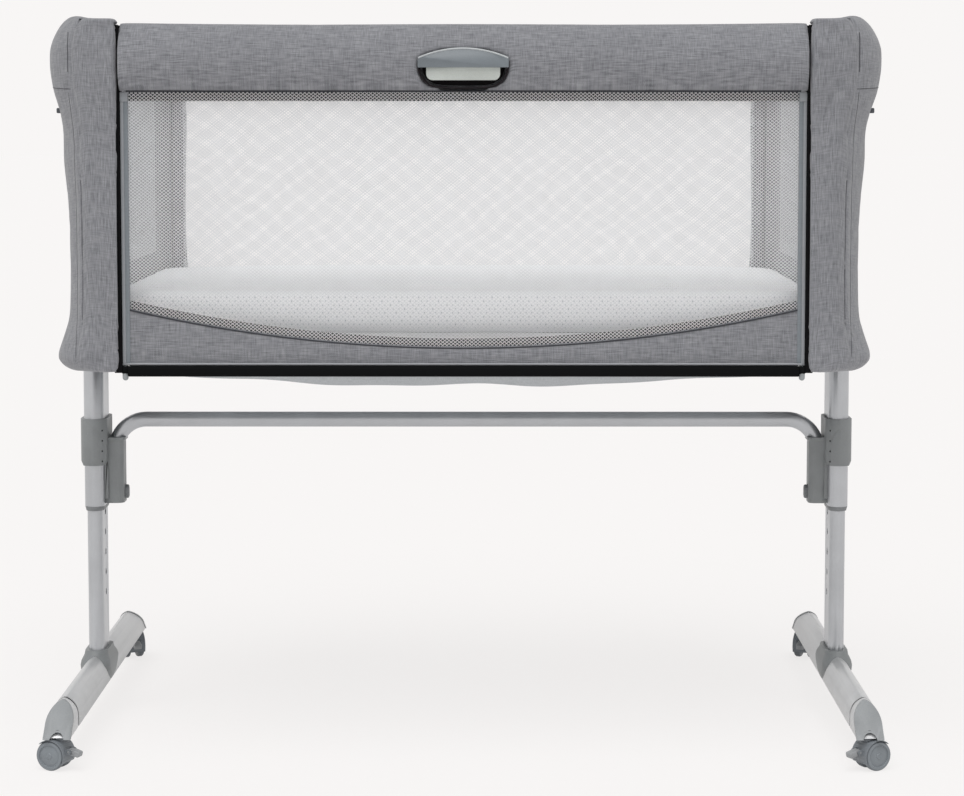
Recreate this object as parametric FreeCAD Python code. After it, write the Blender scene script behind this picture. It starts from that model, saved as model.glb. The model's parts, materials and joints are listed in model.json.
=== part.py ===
import FreeCAD, Part
import math
import os

# Bedside sleeper crib: a padded cot on two telescoping legs, with a front side that drops.
# Millimetres, +Z up. The origin is on the floor, midway between the four casters. The drop side faces -Y.

V = FreeCAD.Vector
UP = V(0, 0, 1)
ORIGIN = V(0, 0, 0)

# ---- padded body: the outer skin is a loft of rounded rectangles --------------------------------------
rail_half_x = 476.0         # outer skin at the widest level of the top rail
rail_half_y = 283.0
rail_corner = 92.0          # plan radius of the outer corners at the top rail
body_bottom = 440.5
body_top = 842.0
rail_height = 83.0          # from the top down to the mesh windows
widest_drop = 45.0          # the rail is widest this far below the top
waist_level = 560.0         # narrowest level of the walls
waist_draw = 26.0           # how far the skin is drawn in at the waist
hem_height = 18.5           # the padded bottom edge bulges out again here
hem_draw = 8.0
end_wall = 72.0             # from the outer skin in to the sleeping space
rear_wall = 38.0
rail_depth = 58.0           # the front and rear rails reach further in than the walls
inner_corner = 30.0
end_cavity = 43.0           # padding outside the room for the base frame and the board
rear_cavity = 21.0

# ---- mesh windows --------------------------------------------------------------------------------------
end_window_half = 165.0
end_window_bottom = 567.0
rear_window_half = 376.0
rear_window_bottom = 548.0
window_corner = 14.0
mesh_sheet = 1.2
mesh_hem = 9.0              # mesh caught behind the cover around a window
mesh_fit = 0.3              # round the mesh where it meets the padding
mesh_cell = 50.0            # width of one diamond gap with its thread
mesh_thread = 9.0

# ---- drop side -----------------------------------------------------------------------------------------
column_width = 92.5         # from the outer skin in to the end of the drop side
drop_gap = 0.5              # between the drop side and its guides
guide_width = 8.0
guide_wall = 1.5
guide_inset = 13.5          # behind the front skin
guide_depth = 25.5
guide_top_drop = 8.0        # below the top of the body
guide_rise = 4.5            # above the bottom of the body
track_foot_d = 6.8
track_foot_drop = 4.5       # the plugs between guide and bottom rail reach this far below the body
drop_rail_drop = 5.5        # below the top of the body
drop_rail_gap = 1.0         # between the level of the windows' tops and the drop rail
drop_rail_round = 24.0
front_mesh_inset = 21.0     # behind the front skin
band_rise = 12.5            # the cloth band starts this far above the bottom of the body
band_centre_height = 19.0   # from there to the lowest point of the window's curved lower edge
band_side_height = 64.0
rail_gap = 0.5              # between the band and the bottom rail
band_thickness = 4.5
rail_tube_d = 19.0
rail_tube_wall = 1.5
rail_tube_inset = 33.0      # behind the front skin
rail_tube_drop = 20.5       # below the top of the drop rail
slider_plug = 30.0          # how deep the end plugs sit in the rail tube
slider_fit = 0.4            # between a slider and its guide
slider_margin = 2.0         # the slider is a little shorter than the rail is high
bolt_d = 8.0
bolt_length = 24.0
bolt_fit = 0.1
bolt_nose = 1.2             # chamfer on the tip
bolt_tip_gap = 0.6          # from the tip to the guide's outer wall
rod_d = 3.0

# ---- handle in the drop rail ----------------------------------------------------------------------------
handle_half = 50.5
handle_drop = 29.0          # below the top of the drop rail
handle_arch = 11.0          # rise of the arched lip
handle_height = 44.5
handle_depth = 28.0
pocket_wall = 1.6
bezel_height = 21.0
bezel_thickness = 3.0
bezel_proud = 2.0
paddle_half = 41.0
paddle_drop = 16.0          # below the top of the handle
paddle_height = 19.0
paddle_thickness = 4.0
paddle_travel = 6.0
paddle_corner = 7.0
paddle_floor = 2.4
cam_half = 39.0             # the cam plate stands behind the paddle, in front of the rail tube
cam_thickness = 2.0
cam_gap = 1.0               # between the cam plate and the tube
cam_margin = 1.9            # plate round a cam slot
cam_fit = 0.2               # between a rod's pin and its slot
cam_room = 1.5              # round the cam plate in the pocket and the padding
pin_spread = 35.0           # the rods' pins at rest, from the middle
bolt_travel = 8.0

# ---- mattress and what carries it -----------------------------------------------------------------------
base_tube_d = 22.0
base_tube_wall = 1.6
base_tube_rise = 27.5       # above the bottom of the body
base_inset_x = 49.0         # behind the outer skin
base_inset_y = 51.0
base_corner = 48.0
plate_thickness = 3.0
padding_fit = 0.3           # between the padding and the frame inside it
board_thickness = 8.0
board_lap = 6.0             # the board reaches this far past the middle of the base tube
mattress_lift = 0.5         # cover cloth between the board and the mattress
mattress_height = 48.0
mattress_gap = 1.5
mattress_gap_y = 4.5
mattress_corner = 58.0
mattress_crown = 4.0
mattress_draw = 6.0         # how far the sides pull in at top and bottom
cloth_sag = 20.0
cloth_end_sag = 1.0         # what is left of the sag at the level ends
cloth_belly = 0.11          # the lowest line lies this share of the way back
cloth_folds = 3
cloth_fold_share = 0.1      # how much of the sag the folds take away between them
cloth_hem = 1.5             # above the bottom of the body
cloth_thickness = 2.0
cloth_inset = 8.0           # inside the guides
bottom_rail_height = 12.0
bottom_rail_depth = 24.0
bottom_rail_inset = 24.0    # its middle, behind the front skin
bottom_rail_round = 5.0

# ---- top frame ------------------------------------------------------------------------------------------
top_tube_d = 19.0
top_tube_wall = 1.5
top_tube_inset_x = 30.0     # behind the outer skin
top_tube_inset_y = 27.0
top_tube_corner = 66.0
post_top_inset_x = 17.0     # the posts' heads, inside the top tube
post_top_inset_y = 20.0
post_foot_inset_x = 12.0    # the posts' feet, inside the base tube
post_foot_inset_y = 6.0
post_d = 19.0

# ---- legs -----------------------------------------------------------------------------------------------
leg_inset = 20.5            # the leg's middle, inside the outer skin
outer_tube_w = 24.5
outer_tube_depth = 62.0
outer_tube_wall = 1.5
outer_tube_bottom = 256.0
outer_tube_rise = 15.5      # into the padding
tube_opening_gap = 0.5      # between the tube and the padding
lower_tube_w = 19.0
lower_tube_depth = 56.0
lower_tube_wall = 1.5
lower_tube_overlap = 74.0   # the lower tube's top stands this far inside the outer tube
bush_fit = 0.05             # running clearance round the lower tube
bush_lip = 5.5
bush_lip_taper = 1.5
bush_length = 46.0
lock_hole_d = 8.0
lock_pitch = 25.0
lock_holes = 6

# ---- height bracket -------------------------------------------------------------------------------------
collar_wall = 4.0
collar_rise = 51.0          # above the bottom of the outer tube
collar_height = 57.0
collar_skirt = 5.0          # the collar's lower edge tapers over this height
collar_taper = 2.0
socket_wall = 2.0
socket_half_depth = 16.0
socket_rise = 2.5
socket_height = 81.0
socket_corner = 8.0
socket_lap = 1.5            # the socket wraps the leg tube's face this far
socket_flange = 3.5
socket_flange_lip = 2.0
fairing_foot = 6.0          # the web between collar and socket starts this far above the socket's foot
fairing_half = 19.0
fairing_lap = 4.0
arch_half = 12.0
arch_drop = 12.0            # the raised arch ends this far below the collar's top
arch_raise = 0.8
crossbar_d = 18.5
crossbar_wall = 1.5
crossbar_rise = 104.5
crossbar_bend = 38.0
crossbar_plug = 43.5        # how deep the bar's ends sit in their sockets
pin_rise = 15.0
pin_d = 7.0
pin_fit = 0.1
pin_room = 0.5              # round the pin where it passes the tube and the bushing
pin_gap = 0.3               # pin tip to the lower tube
pin_length = 11.0
button_w = 12.0
button_h = 17.0
button_length = 11.0
button_proud = 4.5
button_fit = 0.2
button_travel = 4.5
button_edge = 1.2
button_cap = 3.0            # solid front of the button
spring_height = 0.8

# ---- feet -----------------------------------------------------------------------------------------------
foot_bottom = 37.5
foot_w = 30.0
foot_h = 34.0
foot_wall = 1.6
foot_side = 13.0            # height of the straight side below the pointed arch
foot_crest = 1.2            # half width of the flat along the arch's crest
foot_front = -310.0         # lowest front edge, without the cap
foot_rear = 304.0
front_slant = 44.0          # how far the ends lean back at the top
rear_slant = 58.3
nose_length = 59.5          # from the front edge to the joint of the telescoping front foot
collar_length = 5.0
collar_step = 0.8
collar_gap = 0.6
tongue_fit = 0.3
tongue_wall = 2.0
tongue_length = 150.0
end_cap_thickness = 5.0
cap_edge = 0.6              # the caps stand proud of the bar all round
cap_relief = 8.0            # radius of the arched notch in a cap's lower edge
cap_relief_drop = 2.0       # its middle lies this far below the foot
saddle_above_bar = 6.0
saddle_rise = 1.5           # above the bar's base
saddle_w = 37.0
saddle_depth = 98.0
saddle_rim_w = 28.0
saddle_rim_depth = 68.0
saddle_foot_depth = 44.0
saddle_plug = 22.0          # how deep the lower tube sits in the saddle

# ---- casters --------------------------------------------------------------------------------------------
wheel_d = 34.0
wheel_w = 8.5
wheel_track = 18.5          # between the middles of the twin wheels
wheel_round = 2.2
axle_d = 4.0
axle_fit = 0.08
hub_d = 26.0
hub_dish = 1.5              # depth and slope of the recess in a wheel's outer face
hub_ring = 3.0              # from the recess's edge in to the hub
hood_gap = 0.4
hood_shell = 1.0
hood_w = 8.5
hood_nose = 13.0            # the hood starts this far above the axle on the side away from the pedal
hood_heel = 8.0             # and ends this far below it on the pedal's side
web_foot = 6.0              # the web between the wheels ends this far below the axle
trail = 5.0
stem_d = 10.0
stem_length = 7.0           # what sits in the foot
stem_fit = 0.08
front_stem_back = 10.0      # inside the foot's front edge
rear_stem_back = 12.3
stem_block = 30.0           # each foot is solid for this far in from its stem
pedal_w = 10.0
pedal_length = 13.0
pedal_thickness = 6.4
pedal_round = 2.5
pedal_tilt = 15.0           # degrees below level, at rest
pedal_reach = 2.4           # between the hood and the pedal's pin
pedal_height = 5.0          # the pin above the axle
pedal_gap = 0.4             # between the pedal and its ears
pedal_pin_d = 3.0
pedal_pin_fit = 0.05
pedal_room_gap = 0.5
pedal_ear = 1.8
caster_turn = {"front_left": -20.0, "front_right": 28.0, "rear_left": -68.0, "rear_right": 68.0}

# ---- worked out from the sizes above --------------------------------------------------------------------
past = 1000.0               # a cutter that must reach beyond the whole crib goes this far
hem_level = body_bottom + hem_height
rail_bottom = body_top - rail_height
rail_level = body_top - widest_drop
window_top = rail_bottom
inner_half_x = rail_half_x - end_wall
inner_half_y = rail_half_y - rear_wall
rail_inner_half_y = rail_half_y - rail_depth
frame_cavity_x = rail_half_x - end_cavity
frame_cavity_y = rail_half_y - rear_cavity
drop_half_x = rail_half_x - column_width
guide_front = guide_inset - rail_half_y
guide_inner = drop_half_x + drop_gap
guide_outer = guide_inner + guide_width
guide_top = body_top - guide_top_drop
guide_bottom = body_bottom + guide_rise
drop_rail_top = body_top - drop_rail_drop
drop_rail_bottom = rail_bottom + drop_rail_gap
front_mesh_y = front_mesh_inset - rail_half_y
band_bottom = body_bottom + band_rise
front_mesh_centre_z = band_bottom + band_centre_height
front_mesh_side_z = band_bottom + band_side_height
rail_tube_y = rail_tube_inset - rail_half_y
rail_tube_z = drop_rail_top - rail_tube_drop
bottom_rail_y = bottom_rail_inset - rail_half_y
handle_top = drop_rail_top - handle_drop
handle_shoulder = handle_top - handle_arch
handle_bottom = handle_top - handle_height
bezel_bottom = handle_top - bezel_height
paddle_top = handle_top - paddle_drop
paddle_bottom = paddle_top - paddle_height
paddle_front = -rail_half_y - bezel_proud + bezel_thickness + 0.6
cam_back = rail_tube_y - rail_tube_d / 2 - cam_gap
cam_front = cam_back - cam_thickness
cam_top = rail_tube_z + rod_d / 2 + cam_fit + cam_margin
base_tube_z = body_bottom + base_tube_rise
base_half_x = rail_half_x - base_inset_x
base_half_y = rail_half_y - base_inset_y
board_bottom = base_tube_z + base_tube_d / 2
board_top = board_bottom + board_thickness
mattress_bottom = board_top + mattress_lift
top_tube_x = rail_half_x - top_tube_inset_x
top_tube_y = rail_half_y - top_tube_inset_y
post_top_x = top_tube_x - post_top_inset_x
post_top_y = top_tube_y - post_top_inset_y
post_foot_x = base_half_x - post_foot_inset_x
post_foot_y = base_half_y - post_foot_inset_y
leg_x = rail_half_x - leg_inset
leg_inner_face = leg_x - outer_tube_w / 2
outer_tube_top = body_bottom + outer_tube_rise
lower_tube_top = outer_tube_bottom + lower_tube_overlap
collar_bottom = outer_tube_bottom + collar_rise
collar_top = collar_bottom + collar_height
socket_bottom = outer_tube_bottom + socket_rise
socket_top = socket_bottom + socket_height
crossbar_z = outer_tube_bottom + crossbar_rise
crossbar_x = leg_inner_face - crossbar_d / 2 - socket_wall
crossbar_end = socket_top - crossbar_plug
socket_inner = crossbar_x - crossbar_d / 2 - socket_wall
pin_z = outer_tube_bottom + pin_rise
pin_tip = leg_x - lower_tube_w / 2 - pin_gap
foot_top = foot_bottom + foot_h
foot_joint = foot_front + nose_length
saddle_top = foot_top + saddle_above_bar
saddle_bottom = foot_bottom + saddle_rise
front_stem_y = foot_front + front_stem_back
rear_stem_y = foot_rear - rear_stem_back
hood_inside = wheel_d / 2 + hood_gap
hood_outside = hood_inside + hood_shell


# ---- shapes ----------------------------------------------------------------------------------------------
def line(a, b):
    return Part.makeLine(a, b)


def arc(a, middle, b):
    return Part.Arc(a, middle, b).toShape()


def rounded_rectangle(half_x, half_y, radius, z):
    """Closed wire in a level plane, centred on the Z axis, of four lines and four quarter arcs."""
    edges = []
    cut = radius * (1 - math.sqrt(0.5))
    corners = [(1, -1), (1, 1), (-1, 1), (-1, -1)]
    for sx, sy in corners:
        along_y = V(sx * half_x, sy * (half_y - radius), z)
        along_x = V(sx * (half_x - radius), sy * half_y, z)
        middle = V(sx * (half_x - cut), sy * (half_y - cut), z)
        start, end = (along_x, along_y) if sx * sy < 0 else (along_y, along_x)
        if edges:
            edges.append(line(edges[-1].Vertexes[-1].Point, start))
        edges.append(arc(start, middle, end))
    edges.append(line(edges[-1].Vertexes[-1].Point, edges[0].Vertexes[0].Point))
    return Part.Wire(edges)


def prism(wire, along):
    return Part.Face(wire).extrude(along)


def level_prism(half_x, half_y, radius, z0, z1):
    return prism(rounded_rectangle(half_x, half_y, radius, z0), V(0, 0, z1 - z0))


def box(x0, x1, y0, y1, z0, z1):
    return Part.makeBox(x1 - x0, y1 - y0, z1 - z0, V(x0, y0, z0))


def cylinder(radius, start, along):
    return Part.makeCylinder(radius, along.Length, start, along)


def obround_wire(width, depth, centre):
    """Level slot outline, width along X, depth along Y, with half round ends."""
    r = width / 2
    straight = depth / 2 - r
    cx, cy, z = centre.x, centre.y, centre.z
    right = line(V(cx + r, cy - straight, z), V(cx + r, cy + straight, z))
    rear = arc(V(cx + r, cy + straight, z), V(cx, cy + depth / 2, z), V(cx - r, cy + straight, z))
    left = line(V(cx - r, cy + straight, z), V(cx - r, cy - straight, z))
    front = arc(V(cx - r, cy - straight, z), V(cx, cy - depth / 2, z), V(cx + r, cy - straight, z))
    return Part.Wire([right, rear, left, front])


def obround(width, depth, x, z0, z1):
    return prism(obround_wire(width, depth, V(x, 0, z0)), V(0, 0, z1 - z0))


def obround_tube(width, depth, wall, x, z0, z1):
    bore = obround(width - 2 * wall, depth - 2 * wall, x, z0 - 1, z1 + 1)
    return obround(width, depth, x, z0, z1).cut(bore)


def mirrored(shape):
    return shape.mirror(ORIGIN, V(1, 0, 0))


def joined(first, *others):
    result = first
    for other in others:
        result = result.fuse(other)
    return result.removeSplitter()


def run_of_bar(edge, radius):
    """Round bar along one edge: a cylinder along a line, part of a ring along an arc."""
    start = edge.valueAt(edge.FirstParameter)
    if edge.Curve.TypeId == "Part::GeomLine":
        return cylinder(radius, start, edge.valueAt(edge.LastParameter) - start)
    centre, axis = edge.Curve.Center, edge.Curve.Axis
    disc = Part.Face(Part.Wire(Part.makeCircle(radius, start, axis.cross(start - centre))))
    return disc.revolve(centre, axis, math.degrees(edge.LastParameter - edge.FirstParameter))


def sweep(path, radius):
    """Round bar of the given radius along a path of lines and tangent arcs."""
    return joined(*[run_of_bar(edge, radius) for edge in path.Edges])


def tube_along(path, diameter, wall):
    return sweep(path, diameter / 2).cut(sweep(path, diameter / 2 - wall))


def slot_cutter(first, last, radius, depth):
    """Cutter along +Y whose outline in the XZ plane is a slot with round ends about two points."""
    run = last - first
    onward = run * (radius / run.Length)
    aside = V(0, 1, 0).cross(onward)
    sides = [line(first + aside, last + aside), line(last - aside, first - aside)]
    ends = [arc(last + aside, last + onward, last - aside), arc(first - aside, first - onward, first + aside)]
    return prism(Part.Wire([sides[0], ends[0], sides[1], ends[1]]), V(0, depth, 0))


def save(name, shape):
    shape.exportStep("parts/" + name + ".step")


def save_pair(name, left):
    save(name + "_left", left)
    save(name + "_right", mirrored(left))


# ---- padded body -----------------------------------------------------------------------------------------
def skin_stations():
    """Level and inward draw of the outer skin, from the rolled hem up over the top rail."""
    rise = rail_bottom - waist_level
    return [
        (body_bottom, hem_draw + 25.0),
        (body_bottom + 2.0, hem_draw + 15.0),
        (body_bottom + 6.0, hem_draw + 7.0),
        (hem_level - 6.0, hem_draw + 1.0),
        (hem_level, hem_draw),
        (hem_level + 10.0, hem_draw + 3.0),
        (hem_level + 22.0, 0.60 * waist_draw),
        (hem_level + 42.0, 0.85 * waist_draw),
        (waist_level, waist_draw),
        (waist_level + 0.23 * rise, waist_draw),
        (waist_level + 0.45 * rise, 0.90 * waist_draw),
        (waist_level + 0.68 * rise, 0.64 * waist_draw),
        (rail_bottom - 18.0, 0.32 * waist_draw),
        (rail_bottom + 3.0, 0.12 * waist_draw),
        (rail_level - 12.0, 0.0),
        (rail_level + 12.0, 0.0),
        (body_top - 20.0, 5.0),
        (body_top - 9.0, 12.0),
        (body_top - 3.0, 19.0),
        (body_top, 28.0),
    ]


def skin_section(level, draw):
    """One rounded rectangle of the skin. The long sides draw in half as far as the ends."""
    fold = max(0.0, draw - hem_draw) if level < hem_level else 0.0
    draw_y = 0.5 * (draw - fold) + fold
    return rounded_rectangle(rail_half_x - draw, rail_half_y - draw_y, rail_corner - 0.6 * draw, level)


def padded_ring():
    """The whole padded wall with its top rail, still in one ring round the sleeping space."""
    outer = Part.makeLoft([skin_section(z, d) for z, d in skin_stations()], True, True)
    walls = level_prism(inner_half_x, inner_half_y, inner_corner, board_top, rail_bottom)
    below = level_prism(frame_cavity_x, frame_cavity_y, base_corner, body_bottom - 5, board_top)
    top = [(rail_bottom - 0.01, 8.0), (rail_bottom + 14.0, 0.0), (rail_level, 0.0)]
    top += [(body_top - 18.0, -5.0), (body_top + 0.5, -20.0)]
    rail = Part.makeLoft(
        [rounded_rectangle(inner_half_x - d, rail_inner_half_y - d + 8.0, inner_corner + 10.0, z)
         for z, d in top], True, True)
    return outer.cut(walls).cut(below).cut(rail)


def window(wide_along_x, half, z0, z1, reach):
    """Cutter for a mesh window: a rounded opening through a wall, pointing along Y or X."""
    r = window_corner
    pts = [(-half, z0), (half, z0), (half, z1), (-half, z1)]
    cut = r * (1 - math.sqrt(0.5))
    edges = []
    for a, z in pts:
        sa, sz = (1 if a > 0 else -1), (1 if z == z1 else -1)
        on_side = (a, z - sz * r)
        on_flat = (a - sa * r, z)
        middle = (a - sa * cut, z - sz * cut)
        start, end = (on_side, on_flat) if sa == sz else (on_flat, on_side)
        trio = [flat_point(wide_along_x, p) for p in (start, middle, end)]
        if edges:
            edges.append(line(edges[-1].Vertexes[-1].Point, trio[0]))
        edges.append(arc(*trio))
    edges.append(line(edges[-1].Vertexes[-1].Point, edges[0].Vertexes[0].Point))
    along = V(0, reach, 0) if wide_along_x else V(reach, 0, 0)
    return prism(Part.Wire(edges), along)


def flat_point(wide_along_x, pair):
    return V(pair[0], 0, pair[1]) if wide_along_x else V(0, pair[0], pair[1])


def end_cover(ring, leg_opening, frames):
    """Left end: front column, end wall with its mesh window, and rear column, in one padded cover."""
    keep = box(-past, -guide_outer, -past, past, 0, past)
    cover = ring.common(keep)
    opening = window(False, end_window_half, end_window_bottom, window_top, -past)
    return cover.cut(opening).cut(leg_opening).cut(frames)


def rear_cover(ring, frames):
    keep = box(-guide_outer, guide_outer, 0, past, 0, past)
    opening = window(True, rear_window_half, rear_window_bottom, window_top, past)
    return ring.common(keep).cut(opening).cut(frames)


def frame_clearance():
    """Space that the hidden frame tubes and the leg plate take out of the padding."""
    tubes = corner_posts(post_d / 2 + padding_fit) + front_arms(top_tube_d / 2 + padding_fit)
    rail = sweep(top_frame_path(), top_tube_d / 2 + padding_fit)
    base = sweep(base_path(), base_tube_d / 2 + padding_fit)
    return tubes + [rail, base, leg_plate(padding_fit)]


# ---- mesh windows ----------------------------------------------------------------------------------------
def diamond(cx, cz, half):
    pts = [V(cx - half, 0, cz), V(cx, 0, cz - half), V(cx + half, 0, cz), V(cx, 0, cz + half)]
    return Part.makePolygon(pts + [pts[0]])


def net(outline, inside, half_x, z0, z1):
    """Flat net in the XZ plane: an outline with staggered rows of diamond gaps, thickened along +Y."""
    half = (mesh_cell - mesh_thread) / 2
    wires = [outline]
    columns = int(2 * half_x // mesh_cell)
    rows = int(2 * (z1 - z0) // mesh_cell)
    for row in range(rows):
        cz = z0 + (row + 1) * (z1 - z0) / (rows + 1)
        shift = (row % 2) / 2
        for column in range(columns + 1):
            cx = (column + shift - columns / 2) * mesh_cell
            if inside(cx, cz, half + mesh_thread / 2):
                wires.append(diamond(cx, cz, half))
    return Part.Face(wires).extrude(V(0, mesh_sheet, 0))


def wall_net(half, z0, z1):
    corners = [V(-half, 0, z0), V(half, 0, z0), V(half, 0, z1), V(-half, 0, z1)]
    outline = Part.makePolygon(corners + [corners[0]])

    def inside(x, z, reach):
        clear_side = abs(x) + reach < half - mesh_hem
        return clear_side and z0 + mesh_hem < z - reach and z + reach < z1 - mesh_hem / 2
    return net(outline, inside, half, z0, z1)


def rear_mesh():
    sheet = wall_net(rear_window_half - mesh_fit, rear_window_bottom - mesh_hem, window_top - mesh_fit)
    sheet.translate(V(0, inner_half_y - mesh_sheet - mesh_fit, 0))
    return sheet


def end_meshes():
    sheet = wall_net(end_window_half + mesh_hem, end_window_bottom - mesh_hem, window_top - mesh_fit)
    sheet.rotate(ORIGIN, UP, 90)
    sheet.translate(V(-inner_half_x + mesh_sheet, 0, 0))
    return Part.makeCompound([sheet, mirrored(sheet)])


def lower_edge_height(x):
    """Height of the curved lower edge of the front window, a circular arc that dips in the middle."""
    rise = front_mesh_side_z - front_mesh_centre_z
    radius = (drop_half_x ** 2 + rise ** 2) / (2 * rise)
    return front_mesh_centre_z + radius - math.sqrt(radius ** 2 - x ** 2)


def lower_edge_arc(y):
    left = V(-drop_half_x, y, front_mesh_side_z)
    right = V(drop_half_x, y, front_mesh_side_z)
    return left, arc(left, V(0, y, front_mesh_centre_z), right), right


def front_mesh():
    left, curve, right = lower_edge_arc(0)
    top = drop_rail_bottom
    up_right, up_left = V(drop_half_x, 0, top), V(-drop_half_x, 0, top)
    outline = Part.Wire([curve, line(right, up_right), line(up_right, up_left), line(up_left, left)])

    def inside(x, z, reach):
        clear_side = abs(x) + reach < drop_half_x - mesh_hem
        clear_low = z - reach > lower_edge_height(min(abs(x) + reach, drop_half_x)) + mesh_hem / 2
        return clear_side and clear_low and z + reach < top - mesh_hem / 2
    sheet = net(outline, inside, drop_half_x, front_mesh_centre_z, top)
    sheet.translate(V(0, front_mesh_y, 0))
    return sheet


def front_band():
    """Fabric band under the window, from the curved edge down to its piping."""
    y = front_mesh_y + mesh_sheet - band_thickness
    left, curve, right = lower_edge_arc(y)
    low_right, low_left = V(drop_half_x, y, band_bottom), V(-drop_half_x, y, band_bottom)
    outline = Part.Wire([curve, line(right, low_right), line(low_right, low_left), line(low_left, left)])
    return prism(outline, V(0, band_thickness, 0))


# ---- frames inside the padding ---------------------------------------------------------------------------
def top_frame_path():
    """U-shaped tube: up the left end, round the rear and down the right end, open at the drop side."""
    r, x, y, z = top_tube_corner, top_tube_x, top_tube_y, rail_level
    cut = r * (1 - math.sqrt(0.5))
    front = V(-x, -y + r, z)
    rear_side, rear_mid, rear_back = V(-x, y - r, z), V(-x + cut, y - cut, z), V(-x + r, y, z)
    edges = [line(front, rear_side), arc(rear_side, rear_mid, rear_back)]
    back_r, mid_r, side_r = V(x - r, y, z), V(x - cut, y - cut, z), V(x, y - r, z)
    edges += [line(rear_back, back_r), arc(back_r, mid_r, side_r), line(side_r, V(x, -y + r, z))]
    return Part.Wire(edges)


def corner_posts(radius):
    """Four leaning posts between the base frame and the top frame."""
    posts = []
    for sx in (-1, 1):
        for sy in (-1, 1):
            foot = V(sx * post_foot_x, sy * post_foot_y, base_tube_z)
            head = V(sx * post_top_x, sy * post_top_y, rail_level)
            posts.append(cylinder(radius, foot, head - foot))
    return posts


def front_arms(radius):
    """Ends of the top tube, turned in to the heads of the front posts, with a rounded tip."""
    arms = []
    for sx in (-1, 1):
        shoulder = V(sx * top_tube_x, -top_tube_y + top_tube_corner, rail_level)
        head = V(sx * post_top_x, -post_top_y, rail_level)
        arms += [cylinder(radius, shoulder, head - shoulder), Part.makeSphere(radius, head)]
    return arms


def frame_bars(draw):
    """Top tube, its arms and the four posts as one shape, drawn in all round."""
    tube = sweep(top_frame_path(), top_tube_d / 2 - draw)
    return joined(tube, *front_arms(top_tube_d / 2 - draw), *corner_posts(post_d / 2 - draw))


def top_frame():
    """Tube frame in the top rail, with posts that end on the base tube."""
    base_room = sweep(base_path(), base_tube_d / 2)
    below = box(-past, past, -past, past, 0, base_tube_z)
    return frame_bars(0.0).cut(frame_bars(top_tube_wall)).cut(base_room).cut(below)


def base_path():
    return rounded_rectangle(base_half_x, base_half_y, base_corner, base_tube_z)


def leg_plate(grow):
    """Welded plate that ties the inner face of the left leg tube to the base tube."""
    half = (outer_tube_depth - outer_tube_w) / 2 + grow
    face = -leg_inner_face
    foot = body_bottom + plate_thickness
    shelf_z, head = base_tube_z - grow, base_tube_z + plate_thickness + grow
    upright = box(face - grow, face + plate_thickness + grow, -half, half, foot - grow, head)
    shelf = box(face - grow, -base_half_x, -half, half, shelf_z, head)
    return joined(upright, shelf)


def base_frame():
    tube = tube_along(base_path(), base_tube_d, base_tube_wall)
    plate = leg_plate(0.0).cut(sweep(base_path(), base_tube_d / 2 - base_tube_wall))
    return joined(tube, plate, mirrored(plate))


def base_board():
    half_x, half_y = base_half_x + board_lap, base_half_y + board_lap
    plate = level_prism(half_x, half_y, base_corner, board_bottom, board_top)
    for post in corner_posts(post_d / 2 + 0.5):
        plate = plate.cut(post)
    return plate


def mattress_sides(half_x, half_y, top):
    """Side shape of the pad: full at half height and drawn in towards both seams."""
    stations = [(mattress_bottom, mattress_draw), (mattress_bottom + 4.0, 0.50 * mattress_draw),
                (mattress_bottom + 12.0, 0.12 * mattress_draw),
                (mattress_bottom + 0.5 * mattress_height, 0.0),
                (top - 12.0, 0.12 * mattress_draw), (top - 4.0, 0.50 * mattress_draw),
                (top, mattress_draw), (top + 8.0, 3.0 * mattress_draw)]
    wires = [rounded_rectangle(half_x - draw, half_y - draw, mattress_corner - draw, z)
             for z, draw in stations]
    return Part.makeLoft(wires, True, True)


def mattress_crown_block(half_x, half_y, top):
    """Block whose top is the crown: a row of arcs across the pad, flattening towards both ends."""
    steps = 12
    edge = top - 1.0
    wires = []
    for i in range(steps + 1):
        t = 2.0 * i / steps - 1.0
        x = t * (half_x + 5.0)
        rise = 0.4 + (mattress_crown + 1.0) * math.sqrt(max(0.0, 1.0 - t * t))
        left, right = V(x, -half_y - 5.0, edge), V(x, half_y + 5.0, edge)
        low_left, low_right = V(x, left.y, mattress_bottom - 5.0), V(x, right.y, mattress_bottom - 5.0)
        wires.append(Part.Wire([arc(left, V(x, 0, edge + rise), right), line(right, low_right),
                                line(low_right, low_left), line(low_left, left)]))
    return Part.makeLoft(wires, True, True)


def mattress():
    """Crowned pad that lies on the board."""
    half_x, half_y = inner_half_x - mattress_gap, inner_half_y - mattress_gap_y
    top = mattress_bottom + mattress_height
    return mattress_sides(half_x, half_y, top).common(mattress_crown_block(half_x, half_y, top))


def cloth_section(x, sag):
    """Section of the slung cloth: steep behind the bottom rail, then rising slowly to the rear wall."""
    front = bottom_rail_y + bottom_rail_depth / 2 + padding_fit
    rear = frame_cavity_y - padding_fit
    run, top = rear - front, body_bottom + cloth_hem
    lowest = front + cloth_belly * run
    shape = [(front, 0.0), (0.65 * front + 0.35 * lowest, 0.80), (lowest, 1.0),
             (0.5 * (lowest + rear), 0.62), (rear, 0.0)]
    upper = [V(x, y, top - share * sag) for y, share in shape]
    under = [point - V(0, 0, cloth_thickness) for point in upper]
    under.reverse()
    return Part.Wire([arc(*upper[:3]), arc(*upper[2:]), line(upper[-1], under[0]),
                      arc(*under[:3]), arc(*under[2:]), line(under[-1], upper[0])])


def underside_cloth():
    """Cloth slung under the base, level at its ends, with hanging folds across it."""
    half = guide_inner - cloth_inset
    steps = 4 * cloth_folds
    wires = []
    for i in range(steps + 1):
        t = i / steps
        ends = math.sin(math.pi * t) ** 0.7
        fold = 1.0 - cloth_fold_share * (1.0 - math.cos(2 * math.pi * cloth_folds * t))
        wires.append(cloth_section(half * (2 * t - 1), max(cloth_sag * ends * fold, cloth_end_sag)))
    return Part.makeLoft(wires, True, True)


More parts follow.
